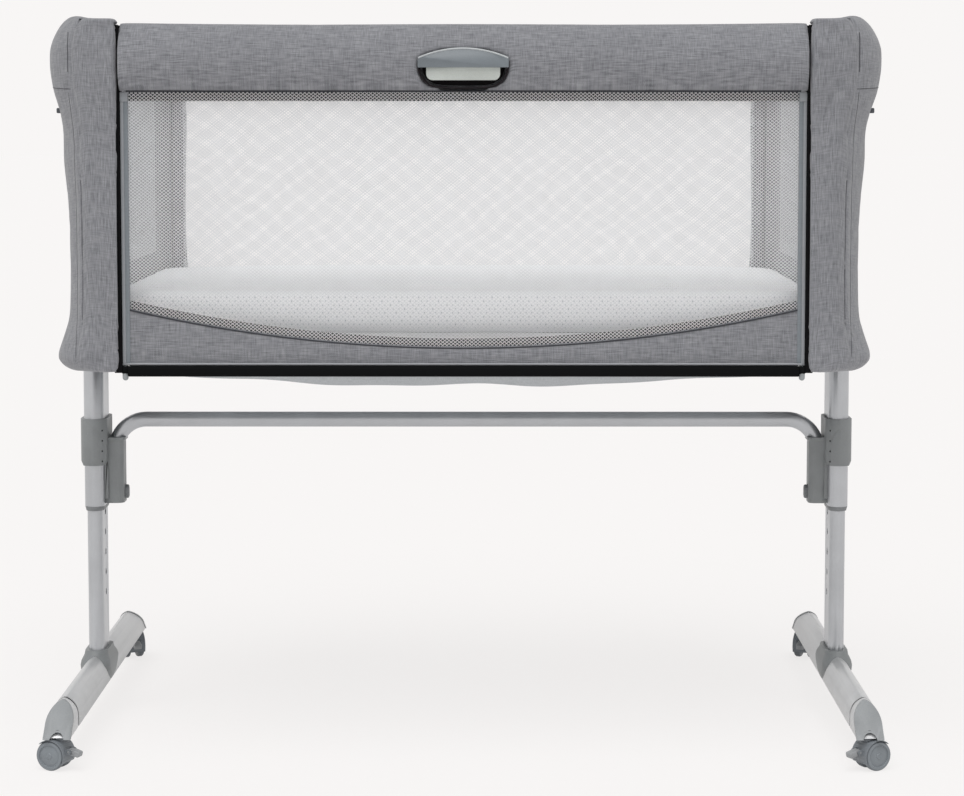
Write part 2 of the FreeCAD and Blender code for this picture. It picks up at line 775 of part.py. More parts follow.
def bottom_rail():
    """Black rail along the bottom of the front, between the plugs of the guides."""
    half = guide_inner - track_foot_d
    top = band_bottom - rail_gap
    rail = box(-half, half, bottom_rail_y - bottom_rail_depth / 2, bottom_rail_y + bottom_rail_depth / 2,
               top - bottom_rail_height, top)
    long_edges = [e for e in rail.Edges if e.Length > half and e.CenterOfMass.z < top - 1]
    return rail.makeFillet(bottom_rail_round, long_edges)


# ---- guides ----------------------------------------------------------------------------------------------
def side_guides():
    """Upright channels that the drop side's ends run in, open towards the middle."""
    bottom = guide_bottom
    block = box(-guide_outer, -guide_inner, guide_front, guide_front + guide_depth, bottom, guide_top)
    inside = box(-guide_outer + guide_wall, 0, guide_front + guide_wall,
                 guide_front + guide_depth - guide_wall, bottom - 1, guide_top + 1)
    keeper = cylinder(bolt_d / 2 + 1.0, V(-guide_outer - 1, rail_tube_y, rail_tube_z), V(guide_width, 0, 0))
    channel = block.cut(inside).cut(keeper)
    return Part.makeCompound([channel, mirrored(channel)])


def track_feet():
    """Plastic plugs between guides and bottom rail, round below, that stand a little under the hem."""
    x = -guide_inner + track_foot_d / 2
    y = guide_front + guide_wall + track_foot_d / 2
    toe_z = body_bottom - track_foot_drop + track_foot_d / 2
    body = cylinder(track_foot_d / 2, V(x, y, toe_z), V(0, 0, band_bottom - rail_gap - toe_z))
    foot = joined(body, Part.makeSphere(track_foot_d / 2, V(x, y, toe_z)))
    return Part.makeCompound([foot, mirrored(foot)])


# ---- drop side -------------------------------------------------------------------------------------------
def rail_profile(x):
    """Upright section of the padded drop rail, rounder in front than behind."""
    y0, y1 = -rail_half_y, -rail_inner_half_y
    z0, z1, r = drop_rail_bottom, drop_rail_top, drop_rail_round
    mid = 0.5 * (z0 + z1)
    front = arc(V(x, y0 + 8.0, z0 + 4.0), V(x, y0, mid), V(x, y0 + r, z1 - 3.0))
    top = arc(V(x, y0 + r, z1 - 3.0), V(x, y0 + r + 10.0, z1), V(x, y1 - r + 4.0, z1 - 3.0))
    rear = arc(V(x, y1 - r + 4.0, z1 - 3.0), V(x, y1, mid), V(x, y1 - 8.0, z0 + 4.0))
    low = [V(x, y1 - 8.0, z0 + 4.0), V(x, y1 - 12.0, z0), V(x, y0 + 12.0, z0), V(x, y0 + 8.0, z0 + 4.0)]
    runs = [line(low[0], low[1]), line(low[1], low[2]), line(low[2], low[3])]
    return Part.Wire([front, top, rear] + runs)


def drop_rail_blank():
    return prism(rail_profile(-drop_half_x), V(2 * drop_half_x, 0, 0))


def handle_outline(grow, y):
    """Bowl shape of the handle seen from the front: an arched lip over a rounded tray."""
    w = handle_half + grow
    top, shoulder = handle_top + grow, handle_shoulder + grow
    low = handle_bottom - grow
    hip = bezel_bottom
    lip = arc(V(-w, y, shoulder), V(0, y, top), V(w, y, shoulder))
    side_r = line(V(w, y, shoulder), V(w, y, hip))
    curve_r = arc(V(w, y, hip), V(0.86 * w, y, low + 0.33 * (hip - low)), V(0.58 * w, y, low + 1.2))
    floor = arc(V(0.58 * w, y, low + 1.2), V(0, y, low), V(-0.58 * w, y, low + 1.2))
    curve_l = arc(V(-0.58 * w, y, low + 1.2), V(-0.86 * w, y, low + 0.33 * (hip - low)), V(-w, y, hip))
    side_l = line(V(-w, y, hip), V(-w, y, shoulder))
    return Part.Wire([lip, side_r, curve_r, floor, curve_l, side_l])


def handle_block(grow, y0, y1):
    return prism(handle_outline(grow, y0), V(0, y1 - y0, 0))


def latch_room():
    """Space behind the paddle that the cam plate moves in, up in front of the rail tube."""
    half = cam_half + cam_room
    return box(-half, half, cam_front - cam_room, cam_back + cam_gap + cam_room, bezel_bottom,
               cam_top + paddle_travel + cam_room)


def cam_slot_ends(side):
    """Places of a rod's pin in the cam plate: at rest, and drawn in while the plate has risen."""
    rest = V(side * pin_spread, cam_front - 1.0, rail_tube_z)
    return rest, rest - V(side * bolt_travel, 0, paddle_travel)


def drop_rail_cover():
    cover = drop_rail_blank()
    tube_room = cylinder(rail_tube_d / 2, V(-drop_half_x - 1, rail_tube_y, rail_tube_z),
                         V(2 * drop_half_x + 2, 0, 0))
    pocket_room = handle_block(0.0, -rail_half_y - 5, -rail_half_y + handle_depth)
    return cover.cut(tube_room).cut(pocket_room).cut(latch_room())


def drop_rail_tube():
    """Steel tube in the rail, with a level slot in front for each rod's pin."""
    start = V(-drop_half_x, rail_tube_y, rail_tube_z)
    along = V(2 * drop_half_x, 0, 0)
    bore = cylinder(rail_tube_d / 2 - rail_tube_wall, start, along)
    tube = cylinder(rail_tube_d / 2, start, along).cut(bore)
    for side in (-1, 1):
        rest = V(side * pin_spread, rail_tube_y - rail_tube_d, rail_tube_z)
        drawn = rest - V(side * bolt_travel, 0, 0)
        tube = tube.cut(slot_cutter(rest, drawn, rod_d / 2 + cam_fit, rail_tube_d))
    return tube


def rail_slider():
    """Left end plug of the rail tube, with a tongue that runs in the guide channel."""
    fit = slider_fit
    plug = cylinder(rail_tube_d / 2 - rail_tube_wall, V(-drop_half_x, rail_tube_y, rail_tube_z),
                    V(slider_plug, 0, 0))
    tongue = box(-guide_outer + guide_wall + fit, -drop_half_x, guide_front + guide_wall + fit,
                 guide_front + guide_depth - guide_wall - fit,
                 drop_rail_bottom + slider_margin, drop_rail_top - 3 * slider_margin)
    bore = cylinder(bolt_d / 2 + bolt_fit, V(-guide_outer, rail_tube_y, rail_tube_z),
                    V(2 * guide_width + slider_plug, 0, 0))
    return joined(plug, tongue).cut(bore)


def rail_sliders():
    left = rail_slider()
    return Part.makeCompound([left, mirrored(left)])


def latch_bolt():
    """Left latch bolt with its pull rod inside the rail tube, whose pin stands out into the cam slot."""
    tip = V(-guide_outer + guide_wall + bolt_tip_gap, rail_tube_y, rail_tube_z)
    nose = Part.makeCone(bolt_d / 2 - bolt_nose, bolt_d / 2, bolt_nose, tip, V(1, 0, 0))
    shank = cylinder(bolt_d / 2, tip + V(bolt_nose, 0, 0), V(bolt_length - bolt_nose, 0, 0))
    rod_start = tip + V(bolt_length, 0, 0)
    rod = cylinder(rod_d / 2, rod_start, V(-pin_spread - rod_start.x, 0, 0))
    elbow = V(-pin_spread, rail_tube_y, rail_tube_z)
    pin = cylinder(rod_d / 2, elbow, V(0, cam_front - cam_room / 2 - rail_tube_y, 0))
    return joined(nose, shank, rod, Part.makeSphere(rod_d / 2, elbow), pin)


def handle_pocket():
    """Dark tray behind the handle opening, which the fingers reach into."""
    y0 = -rail_half_y + 1.0
    y1 = -rail_half_y + handle_depth
    tray = handle_block(0.0, y0, y1).common(drop_rail_blank())
    room = handle_block(-pocket_wall, y0 - 5, y1 - pocket_wall)
    return tray.cut(room).cut(latch_room())


def handle_bezel():
    """Hood over the upper half of the handle opening, with a rolled lip along its arched top."""
    y0 = -rail_half_y - bezel_proud
    upper = box(-handle_half - 5, handle_half + 5, y0 - 10, y0 + 60, bezel_bottom, handle_top + 10)
    plate = handle_block(0.0, y0, y0 + bezel_thickness).common(upper)
    web_top = handle_block(-pocket_wall - 0.2, y0 + bezel_thickness - 0.01, y0 + handle_depth - 4)
    roof = box(-handle_half, handle_half, y0, y0 + handle_depth, paddle_top + paddle_travel + cam_room, handle_top)
    return joined(plate, web_top.common(roof)).cut(latch_room())


def release_paddle():
    """Squeeze plate that hangs below the hood; a floor under the fingers ties it to the cam plate behind."""
    y0, z0, z1, r, w = paddle_front, paddle_bottom, paddle_top, paddle_corner, paddle_half
    cut = r * (1 - math.sqrt(0.5))
    left = [V(-w, y0, z1), V(-w, y0, z0 + r), V(-w + cut, y0, z0 + cut), V(-w + r, y0, z0)]
    right = [V(w - r, y0, z0), V(w - cut, y0, z0 + cut), V(w, y0, z0 + r), V(w, y0, z1)]
    outline = Part.Wire([line(left[0], left[1]), arc(left[1], left[2], left[3]), line(left[3], right[0]),
                         arc(right[0], right[1], right[2]), line(right[2], right[3]),
                         line(right[3], left[0])])
    plate = prism(outline, V(0, paddle_thickness, 0))
    floor = box(-w + r, w - r, y0 + paddle_thickness, cam_back, z0, z0 + paddle_floor)
    return joined(plate, floor, cam_plate())


def cam_plate():
    """Upright plate with two slots that lean inwards and down. As it rises it draws both rods in."""
    foot = paddle_bottom + paddle_floor
    neck = paddle_half - paddle_corner
    inner = pin_spread - bolt_travel - rod_d
    sill = rail_tube_z - paddle_travel - rod_d / 2 - cam_fit - cam_margin
    plate = box(-neck, neck, cam_front, cam_back, foot - paddle_floor, sill)
    for side in (-1, 1):
        x0, x1 = sorted((side * inner, side * cam_half))
        plate = plate.fuse(box(x0, x1, cam_front, cam_back, sill - cam_margin, cam_top))
    for side in (-1, 1):
        rest, drawn = cam_slot_ends(side)
        plate = plate.cut(slot_cutter(rest, drawn, rod_d / 2 + cam_fit, cam_thickness + 2.0))
    return plate.removeSplitter()


# ---- legs ------------------------------------------------------------------------------------------------
def pin_bore(radius, reach):
    """Cutter along X at the left lock pin, from the bracket into the leg."""
    return cylinder(radius, V(-pin_tip - 2.0, 0, pin_z), V(reach, 0, 0))


def outer_leg_tube():
    tube = obround_tube(outer_tube_w, outer_tube_depth, outer_tube_wall, -leg_x,
                        outer_tube_bottom, outer_tube_top)
    return tube.cut(pin_bore(pin_d / 2 + pin_room, pin_length + 1.0))


def tube_bushing():
    """Plastic sleeve in the mouth of the outer tube, with a lip below it."""
    inner_w = outer_tube_w - 2 * outer_tube_wall
    inner_depth = outer_tube_depth - 2 * outer_tube_wall
    sleeve = obround(inner_w, inner_depth, -leg_x, outer_tube_bottom, outer_tube_bottom + bush_length)
    taper = 2 * bush_lip_taper
    foot = V(-leg_x, 0, outer_tube_bottom - bush_lip)
    lip = Part.makeLoft([obround_wire(outer_tube_w - taper, outer_tube_depth - taper, foot),
                         obround_wire(outer_tube_w, outer_tube_depth, V(-leg_x, 0, outer_tube_bottom))],
                        True, True)
    bore = obround(lower_tube_w + 2 * bush_fit, lower_tube_depth + 2 * bush_fit, -leg_x,
                   outer_tube_bottom - bush_lip - 1, outer_tube_bottom + bush_length + 1)
    return joined(sleeve, lip).cut(bore).cut(pin_bore(pin_d / 2 + pin_room, pin_length + 1.0))


def lower_leg_tube():
    bottom = saddle_top - saddle_plug
    tube = obround_tube(lower_tube_w, lower_tube_depth, lower_tube_wall, -leg_x, bottom, lower_tube_top)
    for i in range(lock_holes):
        start = V(-leg_x, 0, pin_z - i * lock_pitch)
        tube = tube.cut(cylinder(lock_hole_d / 2, start, V(lower_tube_w, 0, 0)))
    return tube


def crossbar_path():
    x, r, z = crossbar_x, crossbar_bend, crossbar_z
    cut = r * (1 - math.sqrt(0.5))
    left_low, left_bend = V(-x, 0, crossbar_end), V(-x, 0, z - r)
    left_mid, left_top = V(-x + cut, 0, z - cut), V(-x + r, 0, z)
    right_top, right_mid, right_bend = V(x - r, 0, z), V(x - cut, 0, z - cut), V(x, 0, z - r)
    return Part.Wire([line(left_low, left_bend), arc(left_bend, left_mid, left_top),
                      line(left_top, right_top),
                      arc(right_top, right_mid, right_bend), line(right_bend, V(x, 0, crossbar_end))])


def crossbar():
    return tube_along(crossbar_path(), crossbar_d, crossbar_wall)


def bracket_arch():
    """Raised pointed arch on the front of the collar."""
    half, foot, crown = arch_half, collar_bottom, collar_top - arch_drop
    x, y = -leg_x, -outer_tube_depth
    spring = foot + 0.45 * (crown - foot)
    left = arc(V(x - half, y, spring), V(x - 0.68 * half, y, crown - 9.5), V(x, y, crown))
    right = arc(V(x, y, crown), V(x + 0.68 * half, y, crown - 9.5), V(x + half, y, spring))
    sides = [line(V(x + half, y, spring), V(x + half, y, foot)),
             line(V(x + half, y, foot), V(x - half, y, foot)),
             line(V(x - half, y, foot), V(x - half, y, spring))]
    block = prism(Part.Wire([left, right] + sides), V(0, outer_tube_depth, 0))
    out = 2 * (collar_wall + arch_raise)
    skin = obround(outer_tube_w + out, outer_tube_depth + out,
                   x, foot, crown)
    return skin.common(block)


def height_bracket():
    """Moulded bracket: a collar round the leg tube and a socket for the end of the crossbar."""
    wide = outer_tube_w + 2 * collar_wall
    deep = outer_tube_depth + 2 * collar_wall
    skirt_z = collar_bottom + collar_skirt
    collar = obround(wide, deep, -leg_x, skirt_z, collar_top)
    taper = 2 * collar_taper
    skirt = Part.makeLoft([obround_wire(wide - taper, deep - taper, V(-leg_x, 0, collar_bottom)),
                           obround_wire(wide, deep, V(-leg_x, 0, skirt_z))], True, True)
    d = socket_half_depth
    socket = box(-leg_inner_face - socket_lap, -socket_inner, -d, d, socket_bottom, socket_top)
    socket = socket.makeFillet(socket_corner, free_corners(socket, socket_height))
    flange = box(-leg_inner_face, -socket_inner + socket_flange_lip, -d - 1, d + 1,
                 socket_top - socket_flange, socket_top)
    flange = flange.makeFillet(socket_corner - socket_flange_lip, free_corners(flange, socket_flange))
    solid = joined(collar, skirt, bracket_arch(), socket, flange, bracket_fairing())
    leg_room = obround(outer_tube_w, outer_tube_depth, -leg_x, 0, collar_top + 10)
    bar_room = sweep(crossbar_path(), crossbar_d / 2)
    pin_hole = pin_bore(pin_d / 2 + pin_fit, pin_length + button_travel)
    return solid.cut(leg_room).cut(bar_room).cut(button_well()).cut(pin_hole)


def free_corners(block, height):
    """Upright edges of a block, of the given height, on its side away from the leg."""
    return [e for e in block.Edges
            if abs(e.BoundBox.ZLength - height) < 0.01 and e.BoundBox.XLength + e.BoundBox.YLength < 0.01
            and e.CenterOfMass.x > -leg_inner_face]


def bracket_fairing():
    """Web between the collar and the socket, whose lower edge slants down towards the socket's foot."""
    z0, z1, lap = socket_bottom + fairing_foot, collar_bottom + collar_taper, -leg_inner_face + fairing_lap
    y = -fairing_half
    outline = Part.makePolygon([V(-leg_x, y, z1), V(-leg_inner_face - 1.0, y, z0), V(lap, y, z0),
                                V(lap, y, socket_top), V(-leg_x, y, socket_top), V(-leg_x, y, z1)])
    return prism(outline, V(0, 2 * fairing_half, 0))


def button_outline(grow, x):
    """Upright oval in the YZ plane, on the lock pin's axis."""
    r = button_w / 2 + grow
    straight = (button_h - button_w) / 2
    z0, z1 = pin_z - straight, pin_z + straight
    front, rear = -r, r
    crown = arc(V(x, front, z1), V(x, 0, z1 + r), V(x, rear, z1))
    foot = arc(V(x, rear, z0), V(x, 0, z0 - r), V(x, front, z0))
    sides = [line(V(x, front, z0), V(x, front, z1)), line(V(x, rear, z1), V(x, rear, z0))]
    return Part.Wire([sides[0], crown, sides[1], foot])


def button_face():
    return -socket_inner + button_proud


def well_back():
    """Distance of the well's floor from the middle of the crib."""
    return -button_face() + button_length + button_travel + spring_height + 0.3


def button_well():
    start = button_face() + 1.0
    return prism(button_outline(button_fit, start), V(-well_back() - start, 0, 0))


def release_button():
    """Left height button: an oval cap, hollow behind, that is pressed towards the leg."""
    x = button_face()
    cap = prism(button_outline(0.0, x), V(-button_length, 0, 0))
    rim = [e for e in cap.Edges if abs(e.CenterOfMass.x - x) < 0.01]
    cap = cap.makeChamfer(button_edge, rim)
    depth = button_length - button_cap
    hollow = cylinder(pin_d / 2 + 2 * pin_room, V(x - button_length, 0, pin_z), V(depth, 0, 0))
    return cap.cut(hollow)


def lock_pin():
    start = V(-pin_tip, 0, pin_z)
    tip = Part.makeCone(pin_d / 2 - 0.8, pin_d / 2, 1.0, start, V(1, 0, 0))
    shank = cylinder(pin_d / 2, start + V(1, 0, 0), V(pin_length - 1, 0, 0))
    return joined(tip, shank)


def lock_spring():
    """Return spring on the floor of the button's well, drawn at the height of its closed turns."""
    start = V(-well_back(), 0, pin_z)
    outer = cylinder(pin_d / 2 + 2.2, start, V(spring_height, 0, 0))
    return outer.cut(cylinder(pin_d / 2 + 0.6, start, V(spring_height, 0, 0)))


# ---- feet ------------------------------------------------------------------------------------------------
def ogive_wire(inset, y, x):
    """Section of the foot bar: flat base, upright sides and a pointed arch, drawn in by inset all round."""
    w = foot_w / 2 - inset
    z0, z1 = foot_bottom + inset, foot_top - inset
    spring = foot_bottom + foot_side
    bow_x, bow_z = 0.70 * w, spring + 0.66 * (z1 - spring)
    crest = foot_crest
    lean_r = arc(V(x + w, y, spring), V(x + bow_x, y, bow_z), V(x + crest, y, z1))
    lean_l = arc(V(x - crest, y, z1), V(x - bow_x, y, bow_z), V(x - w, y, spring))
    return Part.Wire([line(V(x - w, y, z0), V(x + w, y, z0)), line(V(x + w, y, z0), V(x + w, y, spring)),
                      lean_r,
                      line(V(x + crest, y, z1), V(x - crest, y, z1)), lean_l,
                      line(V(x - w, y, spring), V(x - w, y, z0))])


def ogive(inset, y0, y1):
    return prism(ogive_wire(inset, y0, -leg_x), V(0, y1 - y0, 0))


def slanted_half_space(y_low, lean, sign, offset):
    """Everything beyond the leaning end plane of a foot; sign is -1 at the front and 1 at the rear."""
    x, y = -leg_x - foot_w, y_low + sign * offset
    low, high = foot_bottom - foot_h, foot_bottom + 2 * foot_h
    back = sign * lean / foot_h
    slope = [V(x, y + back * foot_h, low), V(x, y - 2 * back * foot_h, high)]
    outline = slope + [V(x, sign * past, high), V(x, sign * past, low), slope[0]]
    return prism(Part.makePolygon(outline), V(2 * foot_w, 0, 0))


def stem_hole(y):
    return cylinder(stem_d / 2 + stem_fit, V(-leg_x, y, 0), V(0, 0, foot_bottom + stem_length + 1.0))


def foot_bar():
    """Long fixed part of the foot: a hollow section, open in front and solid round the rear stem."""
    bar = ogive(0.0, foot_joint, foot_rear + 5).cut(slanted_half_space(foot_rear, rear_slant, 1, 0.0))
    bore = ogive(foot_wall, foot_joint - 1, rear_stem_y - stem_block)
    plug_room = obround(lower_tube_w, lower_tube_depth, -leg_x, saddle_top - saddle_plug, foot_top + 5)
    return bar.cut(bore).cut(plug_room).cut(stem_hole(rear_stem_y))


def foot_collar():
    """Thin trim ring round the mouth of the foot bar."""
    y0 = foot_joint - collar_length
    ring = ogive(collar_step, y0, foot_joint)
    return ring.cut(ogive(foot_wall, y0 - 1, foot_joint + 1))


def front_foot():
    """Telescoping front of the foot: solid round the stem, with a hollow tongue that runs in the bar."""
    y1 = foot_joint - collar_length - collar_gap
    nose = ogive(0.0, foot_front - 5, y1).cut(slanted_half_space(foot_front, front_slant, -1, 0.0))
    tongue = ogive(foot_wall + tongue_fit, y1 - 1, foot_joint + tongue_length)
    room = ogive(foot_wall + tongue_fit + tongue_wall, front_stem_y + stem_block,
                 foot_joint + tongue_length + 1)
    return joined(nose, tongue).cut(room).cut(stem_hole(front_stem_y))


def front_end_cap():
    return end_cap(foot_front, front_slant, -1).cut(stem_hole(front_stem_y))


def rear_end_cap():
    return end_cap(foot_rear, rear_slant, 1).cut(stem_hole(rear_stem_y))


def end_cap(y_low, lean, sign):
    """Moulded cap over a slanted bar end, with a round relief at its foot for the caster."""
    beyond = slanted_half_space(y_low, lean, sign, 0.0)
    outside = slanted_half_space(y_low, lean, sign, end_cap_thickness)
    y0, y1 = sorted((y_low - sign * (lean + foot_h), y_low + sign * foot_h))
    cap = ogive(-cap_edge, y0, y1).common(beyond).cut(outside)
    relief = cylinder(cap_relief, V(-leg_x, y_low - foot_h, foot_bottom - cap_relief_drop),
                      V(0, 2 * foot_h, 0))
    return cap.cut(relief)


def foot_saddle():
    """Saddle that holds the lower tube on the foot bar: flared over the bar, drawn in below."""
    flare = saddle_depth - saddle_rim_depth
    taper = saddle_depth - saddle_foot_depth
    levels = [(saddle_bottom, saddle_w - 5.0, saddle_foot_depth),
              (saddle_bottom + 7.0, saddle_w - 1.0, saddle_foot_depth + 0.42 * taper),
              (saddle_bottom + 15.0, saddle_w, saddle_depth - 0.16 * taper),
              (saddle_bottom + 22.0, saddle_w, saddle_depth),
              (saddle_bottom + 27.0, saddle_w - 1.5, saddle_depth - 0.24 * flare),
              (saddle_top - 5.0, saddle_rim_w + 1.5, saddle_rim_depth + 0.22 * flare),
              (saddle_top, saddle_rim_w, saddle_rim_depth)]
    body = Part.makeLoft([obround_wire(w, depth, V(-leg_x, 0, z)) for z, w, depth in levels], True, True)
    bar_room = ogive(0.0, -saddle_depth, saddle_depth)
    tube_room = obround(lower_tube_w, lower_tube_depth, -leg_x, saddle_top - saddle_plug, saddle_top + 5)
    return body.cut(bar_room).cut(tube_room)


# ---- casters ---------------------------------------------------------------------------------------------
def wheel(x):
    """One wheel on the X axis: a rounded tread with a dished outer face."""
    disc = cylinder(wheel_d / 2, V(x - wheel_w / 2, 0, 0), V(wheel_w, 0, 0))
    disc = disc.makeChamfer(wheel_round, [e for e in disc.Edges if e.Curve.TypeId == "Part::GeomCircle"])
    outward = 1 if x > 0 else -1
    face = V(x + outward * wheel_w / 2, 0, 0)
    dish = Part.makeCone(hub_d / 2, hub_d / 2 - hub_dish, 1.0, face, V(-outward, 0, 0))
    boss = cylinder(hub_d / 2 - hub_ring, face - V(outward * hub_dish, 0, 0), V(outward * 1.3, 0, 0))
    return joined(disc.cut(dish), boss)


def wheel_pair():
    half = wheel_track / 2
    inner = half - wheel_w / 2
    axle = cylinder(axle_d / 2, V(-inner - 2, 0, 0), V(2 * inner + 4, 0, 0))
    return joined(wheel(-half), wheel(half), axle)


def caster_hood():
    """Hood between and over the twin wheels, with the stem that turns in the foot."""
    axle_z = wheel_d / 2
    inner, outer = hood_inside, hood_outside
    width = wheel_track + wheel_w
    start, along = V(-width / 2, 0, 0), V(width, 0, 0)
    arch = cylinder(outer, start, along).cut(cylinder(inner, start, along))
    arch = arch.cut(box(-width, width, -outer - 1, 0, -outer - 1, hood_nose))
    arch = arch.cut(box(-width, width, -1, outer + 1, -outer - 1, -hood_heel))
    web = cylinder(outer - hood_shell / 4, V(-hood_w / 2, 0, 0), V(hood_w, 0, 0))
    web = web.cut(box(-width, width, -outer - 1, outer + 1, -outer - 1, -web_foot))
    bore = cylinder(axle_d / 2 + axle_fit, V(-width, 0, 0), V(2 * width, 0, 0))
    stem_top = foot_bottom + stem_length - axle_z
    stem = cylinder(stem_d / 2, V(0, trail, outer / 2), V(0, 0, stem_top - outer / 2))
    hood = joined(arch, web, stem, *pedal_ears()).cut(bore).cut(pedal_room())
    hood.translate(V(0, 0, axle_z))
    return hood


def pedal_pivot():
    """Middle of the pedal's hinge pin, just outside the hood."""
    return V(0, hood_outside + pedal_reach, pedal_height)


def pedal_ears():
    """Two ears on the hood, bored for the brake pedal's pin."""
    p = pedal_pivot()
    inside = pedal_w / 2 + pedal_gap
    r = pedal_thickness / 2
    ears = []
    bore = cylinder(pedal_pin_d / 2 + pedal_pin_fit, V(-2 * inside, p.y, p.z), V(4 * inside, 0, 0))
    wheel_room = cylinder(hood_inside, V(-2 * inside, 0, 0), V(4 * inside, 0, 0))
    for sign in (-1, 1):
        boss = cylinder(r, V(sign * inside, p.y, p.z), V(sign * pedal_ear, 0, 0))
        x0, x1 = sorted((sign * inside, sign * (inside + pedal_ear)))
        foot = box(x0, x1, p.y - 2 * r, p.y, p.z - r, p.z + r).cut(wheel_room)
        ears.append(joined(boss, foot).cut(bore))
    return ears


def pedal_room():
    """Space in the hood for the brake pedal between the ears."""
    p = pedal_pivot()
    inside = pedal_w / 2 + pedal_gap
    return cylinder(pedal_thickness / 2 + pedal_room_gap, V(-inside, p.y, p.z), V(2 * inside, 0, 0))


def brake_pedal():
    """Rounded brake pedal that leans down between the wheels and turns on its pin."""
    p = pedal_pivot()
    r = pedal_thickness / 2
    root = cylinder(r, V(-pedal_w / 2, p.y, p.z), V(pedal_w, 0, 0))
    blade = box(-pedal_w / 2, pedal_w / 2, p.y, p.y + pedal_length, p.z - r, p.z + r)
    tip = [e for e in blade.Edges if abs(e.CenterOfMass.y - p.y - pedal_length) < 0.01]
    blade = blade.makeFillet(pedal_round, tip)
    blade.rotate(p, V(1, 0, 0), -pedal_tilt)
    reach = pedal_w / 2 + pedal_gap + pedal_ear
    pin = cylinder(pedal_pin_d / 2, V(-reach, p.y, p.z), V(2 * reach, 0, 0))
    pedal = joined(root, blade, pin)
    pedal.translate(V(0, 0, wheel_d / 2))
    return pedal


def place_caster(shape, corner):
    """Turn a caster piece to its rest angle about the stem and move it under its foot."""
    side = -1 if corner.endswith("left") else 1
    y = front_stem_y if corner.startswith("front") else rear_stem_y
    placed = shape.copy()
    placed.translate(V(0, -trail, 0))
    placed.rotate(ORIGIN, UP, side * 90 + caster_turn[corner])
    placed.translate(V(side * leg_x, y, 0))
    return placed


def save_casters():
    wheels = wheel_pair()
    wheels.translate(V(0, 0, wheel_d / 2))
    pieces = {"caster_hood": caster_hood(), "caster_wheels": wheels, "brake_pedal": brake_pedal()}
    for corner in caster_turn:
        for name, shape in pieces.items():
            save(name + "_" + corner, place_caster(shape, corner))


# ---- the whole crib --------------------------------------------------------------------------------------
def save_body():
    frames = frame_clearance()
    gap = tube_opening_gap
    leg_opening = obround(outer_tube_w + 2 * gap, outer_tube_depth + 2 * gap, -leg_x, 0, outer_tube_top + gap)
    ring = padded_ring()
    left = end_cover(ring, leg_opening, frames)
    save_pair("cover", left)
    save("cover_rear", rear_cover(ring, frames))
    save("rear_mesh", rear_mesh())
    save("end_meshes", end_meshes())
    save("top_frame", top_frame())
    save("base_frame", base_frame())
    save("base_board", base_board())
    save("mattress", mattress())
    save("underside_cloth", underside_cloth())
    save("bottom_rail", bottom_rail())
    save("side_guides", side_guides())
    save("track_feet", track_feet())


def save_drop_side():
    save("drop_rail_tube", drop_rail_tube())
    save("drop_rail_cover", drop_rail_cover())
    save("front_mesh", front_mesh())
    save("front_band", front_band())
    save("rail_sliders", rail_sliders())
    save_pair("latch_bolt", latch_bolt())
    save("handle_pocket", handle_pocket())
    save("handle_bezel", handle_bezel())
    save("release_paddle", release_paddle())


def save_legs():
    save_pair("outer_leg_tube", outer_leg_tube())
    bush = tube_bushing()
    save("tube_bushings", Part.makeCompound([bush, mirrored(bush)]))
    save_pair("height_bracket", height_bracket())
    save_pair("release_button", release_button())
    save_pair("lock_pin", lock_pin())
    spring = lock_spring()
    save("lock_springs", Part.makeCompound([spring, mirrored(spring)]))
    save("crossbar", crossbar())
    save_pair("lower_leg_tube", lower_leg_tube())
    save_pair("foot_saddle", foot_saddle())
    save_pair("foot_bar", foot_bar())
    save_pair("foot_collar", foot_collar())
    save_pair("front_foot", front_foot())
    save_pair("front_end_cap", front_end_cap())
    save_pair("rear_end_cap", rear_end_cap())


os.makedirs("parts", exist_ok=True)
save_body()
save_drop_side()
save_legs()
save_casters()
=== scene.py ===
import json
import math

import bmesh
import bpy
import numpy as np
from mathutils import Matrix, Vector
from mathutils.bvhtree import BVHTree

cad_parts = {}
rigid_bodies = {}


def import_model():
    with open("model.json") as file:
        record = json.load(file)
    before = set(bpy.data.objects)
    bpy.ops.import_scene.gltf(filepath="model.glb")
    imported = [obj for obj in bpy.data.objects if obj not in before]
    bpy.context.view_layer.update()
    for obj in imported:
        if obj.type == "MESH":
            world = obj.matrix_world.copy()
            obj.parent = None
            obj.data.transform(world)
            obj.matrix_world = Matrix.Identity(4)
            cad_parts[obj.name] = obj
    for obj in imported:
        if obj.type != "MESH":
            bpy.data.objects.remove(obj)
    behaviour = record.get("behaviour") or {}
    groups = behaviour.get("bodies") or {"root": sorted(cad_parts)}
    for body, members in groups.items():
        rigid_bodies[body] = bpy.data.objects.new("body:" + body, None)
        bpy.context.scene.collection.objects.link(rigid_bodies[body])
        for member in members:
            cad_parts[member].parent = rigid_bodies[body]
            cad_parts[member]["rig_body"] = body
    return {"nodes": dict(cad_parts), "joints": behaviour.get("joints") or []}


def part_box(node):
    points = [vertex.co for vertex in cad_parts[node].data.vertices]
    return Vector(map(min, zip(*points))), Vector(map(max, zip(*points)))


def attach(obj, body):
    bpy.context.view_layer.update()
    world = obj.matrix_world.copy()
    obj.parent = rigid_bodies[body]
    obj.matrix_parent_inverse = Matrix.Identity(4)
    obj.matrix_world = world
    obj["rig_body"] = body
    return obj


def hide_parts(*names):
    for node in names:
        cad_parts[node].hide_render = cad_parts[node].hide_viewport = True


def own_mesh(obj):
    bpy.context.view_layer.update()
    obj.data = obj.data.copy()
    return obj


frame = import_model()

nodes = frame["nodes"]
joints = {joint["name"]: joint for joint in frame["joints"]}
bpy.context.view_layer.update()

# ---- steel frames inside the padding -----------------------------------------------------------------------
# Two frames of bent steel tube carry the crib: one under the mattress and one in the padded top rail, with
# four posts between them. They are welded and powder coated grey. Only their ends show, from below.
STEEL_GREY = (92, 95, 99)


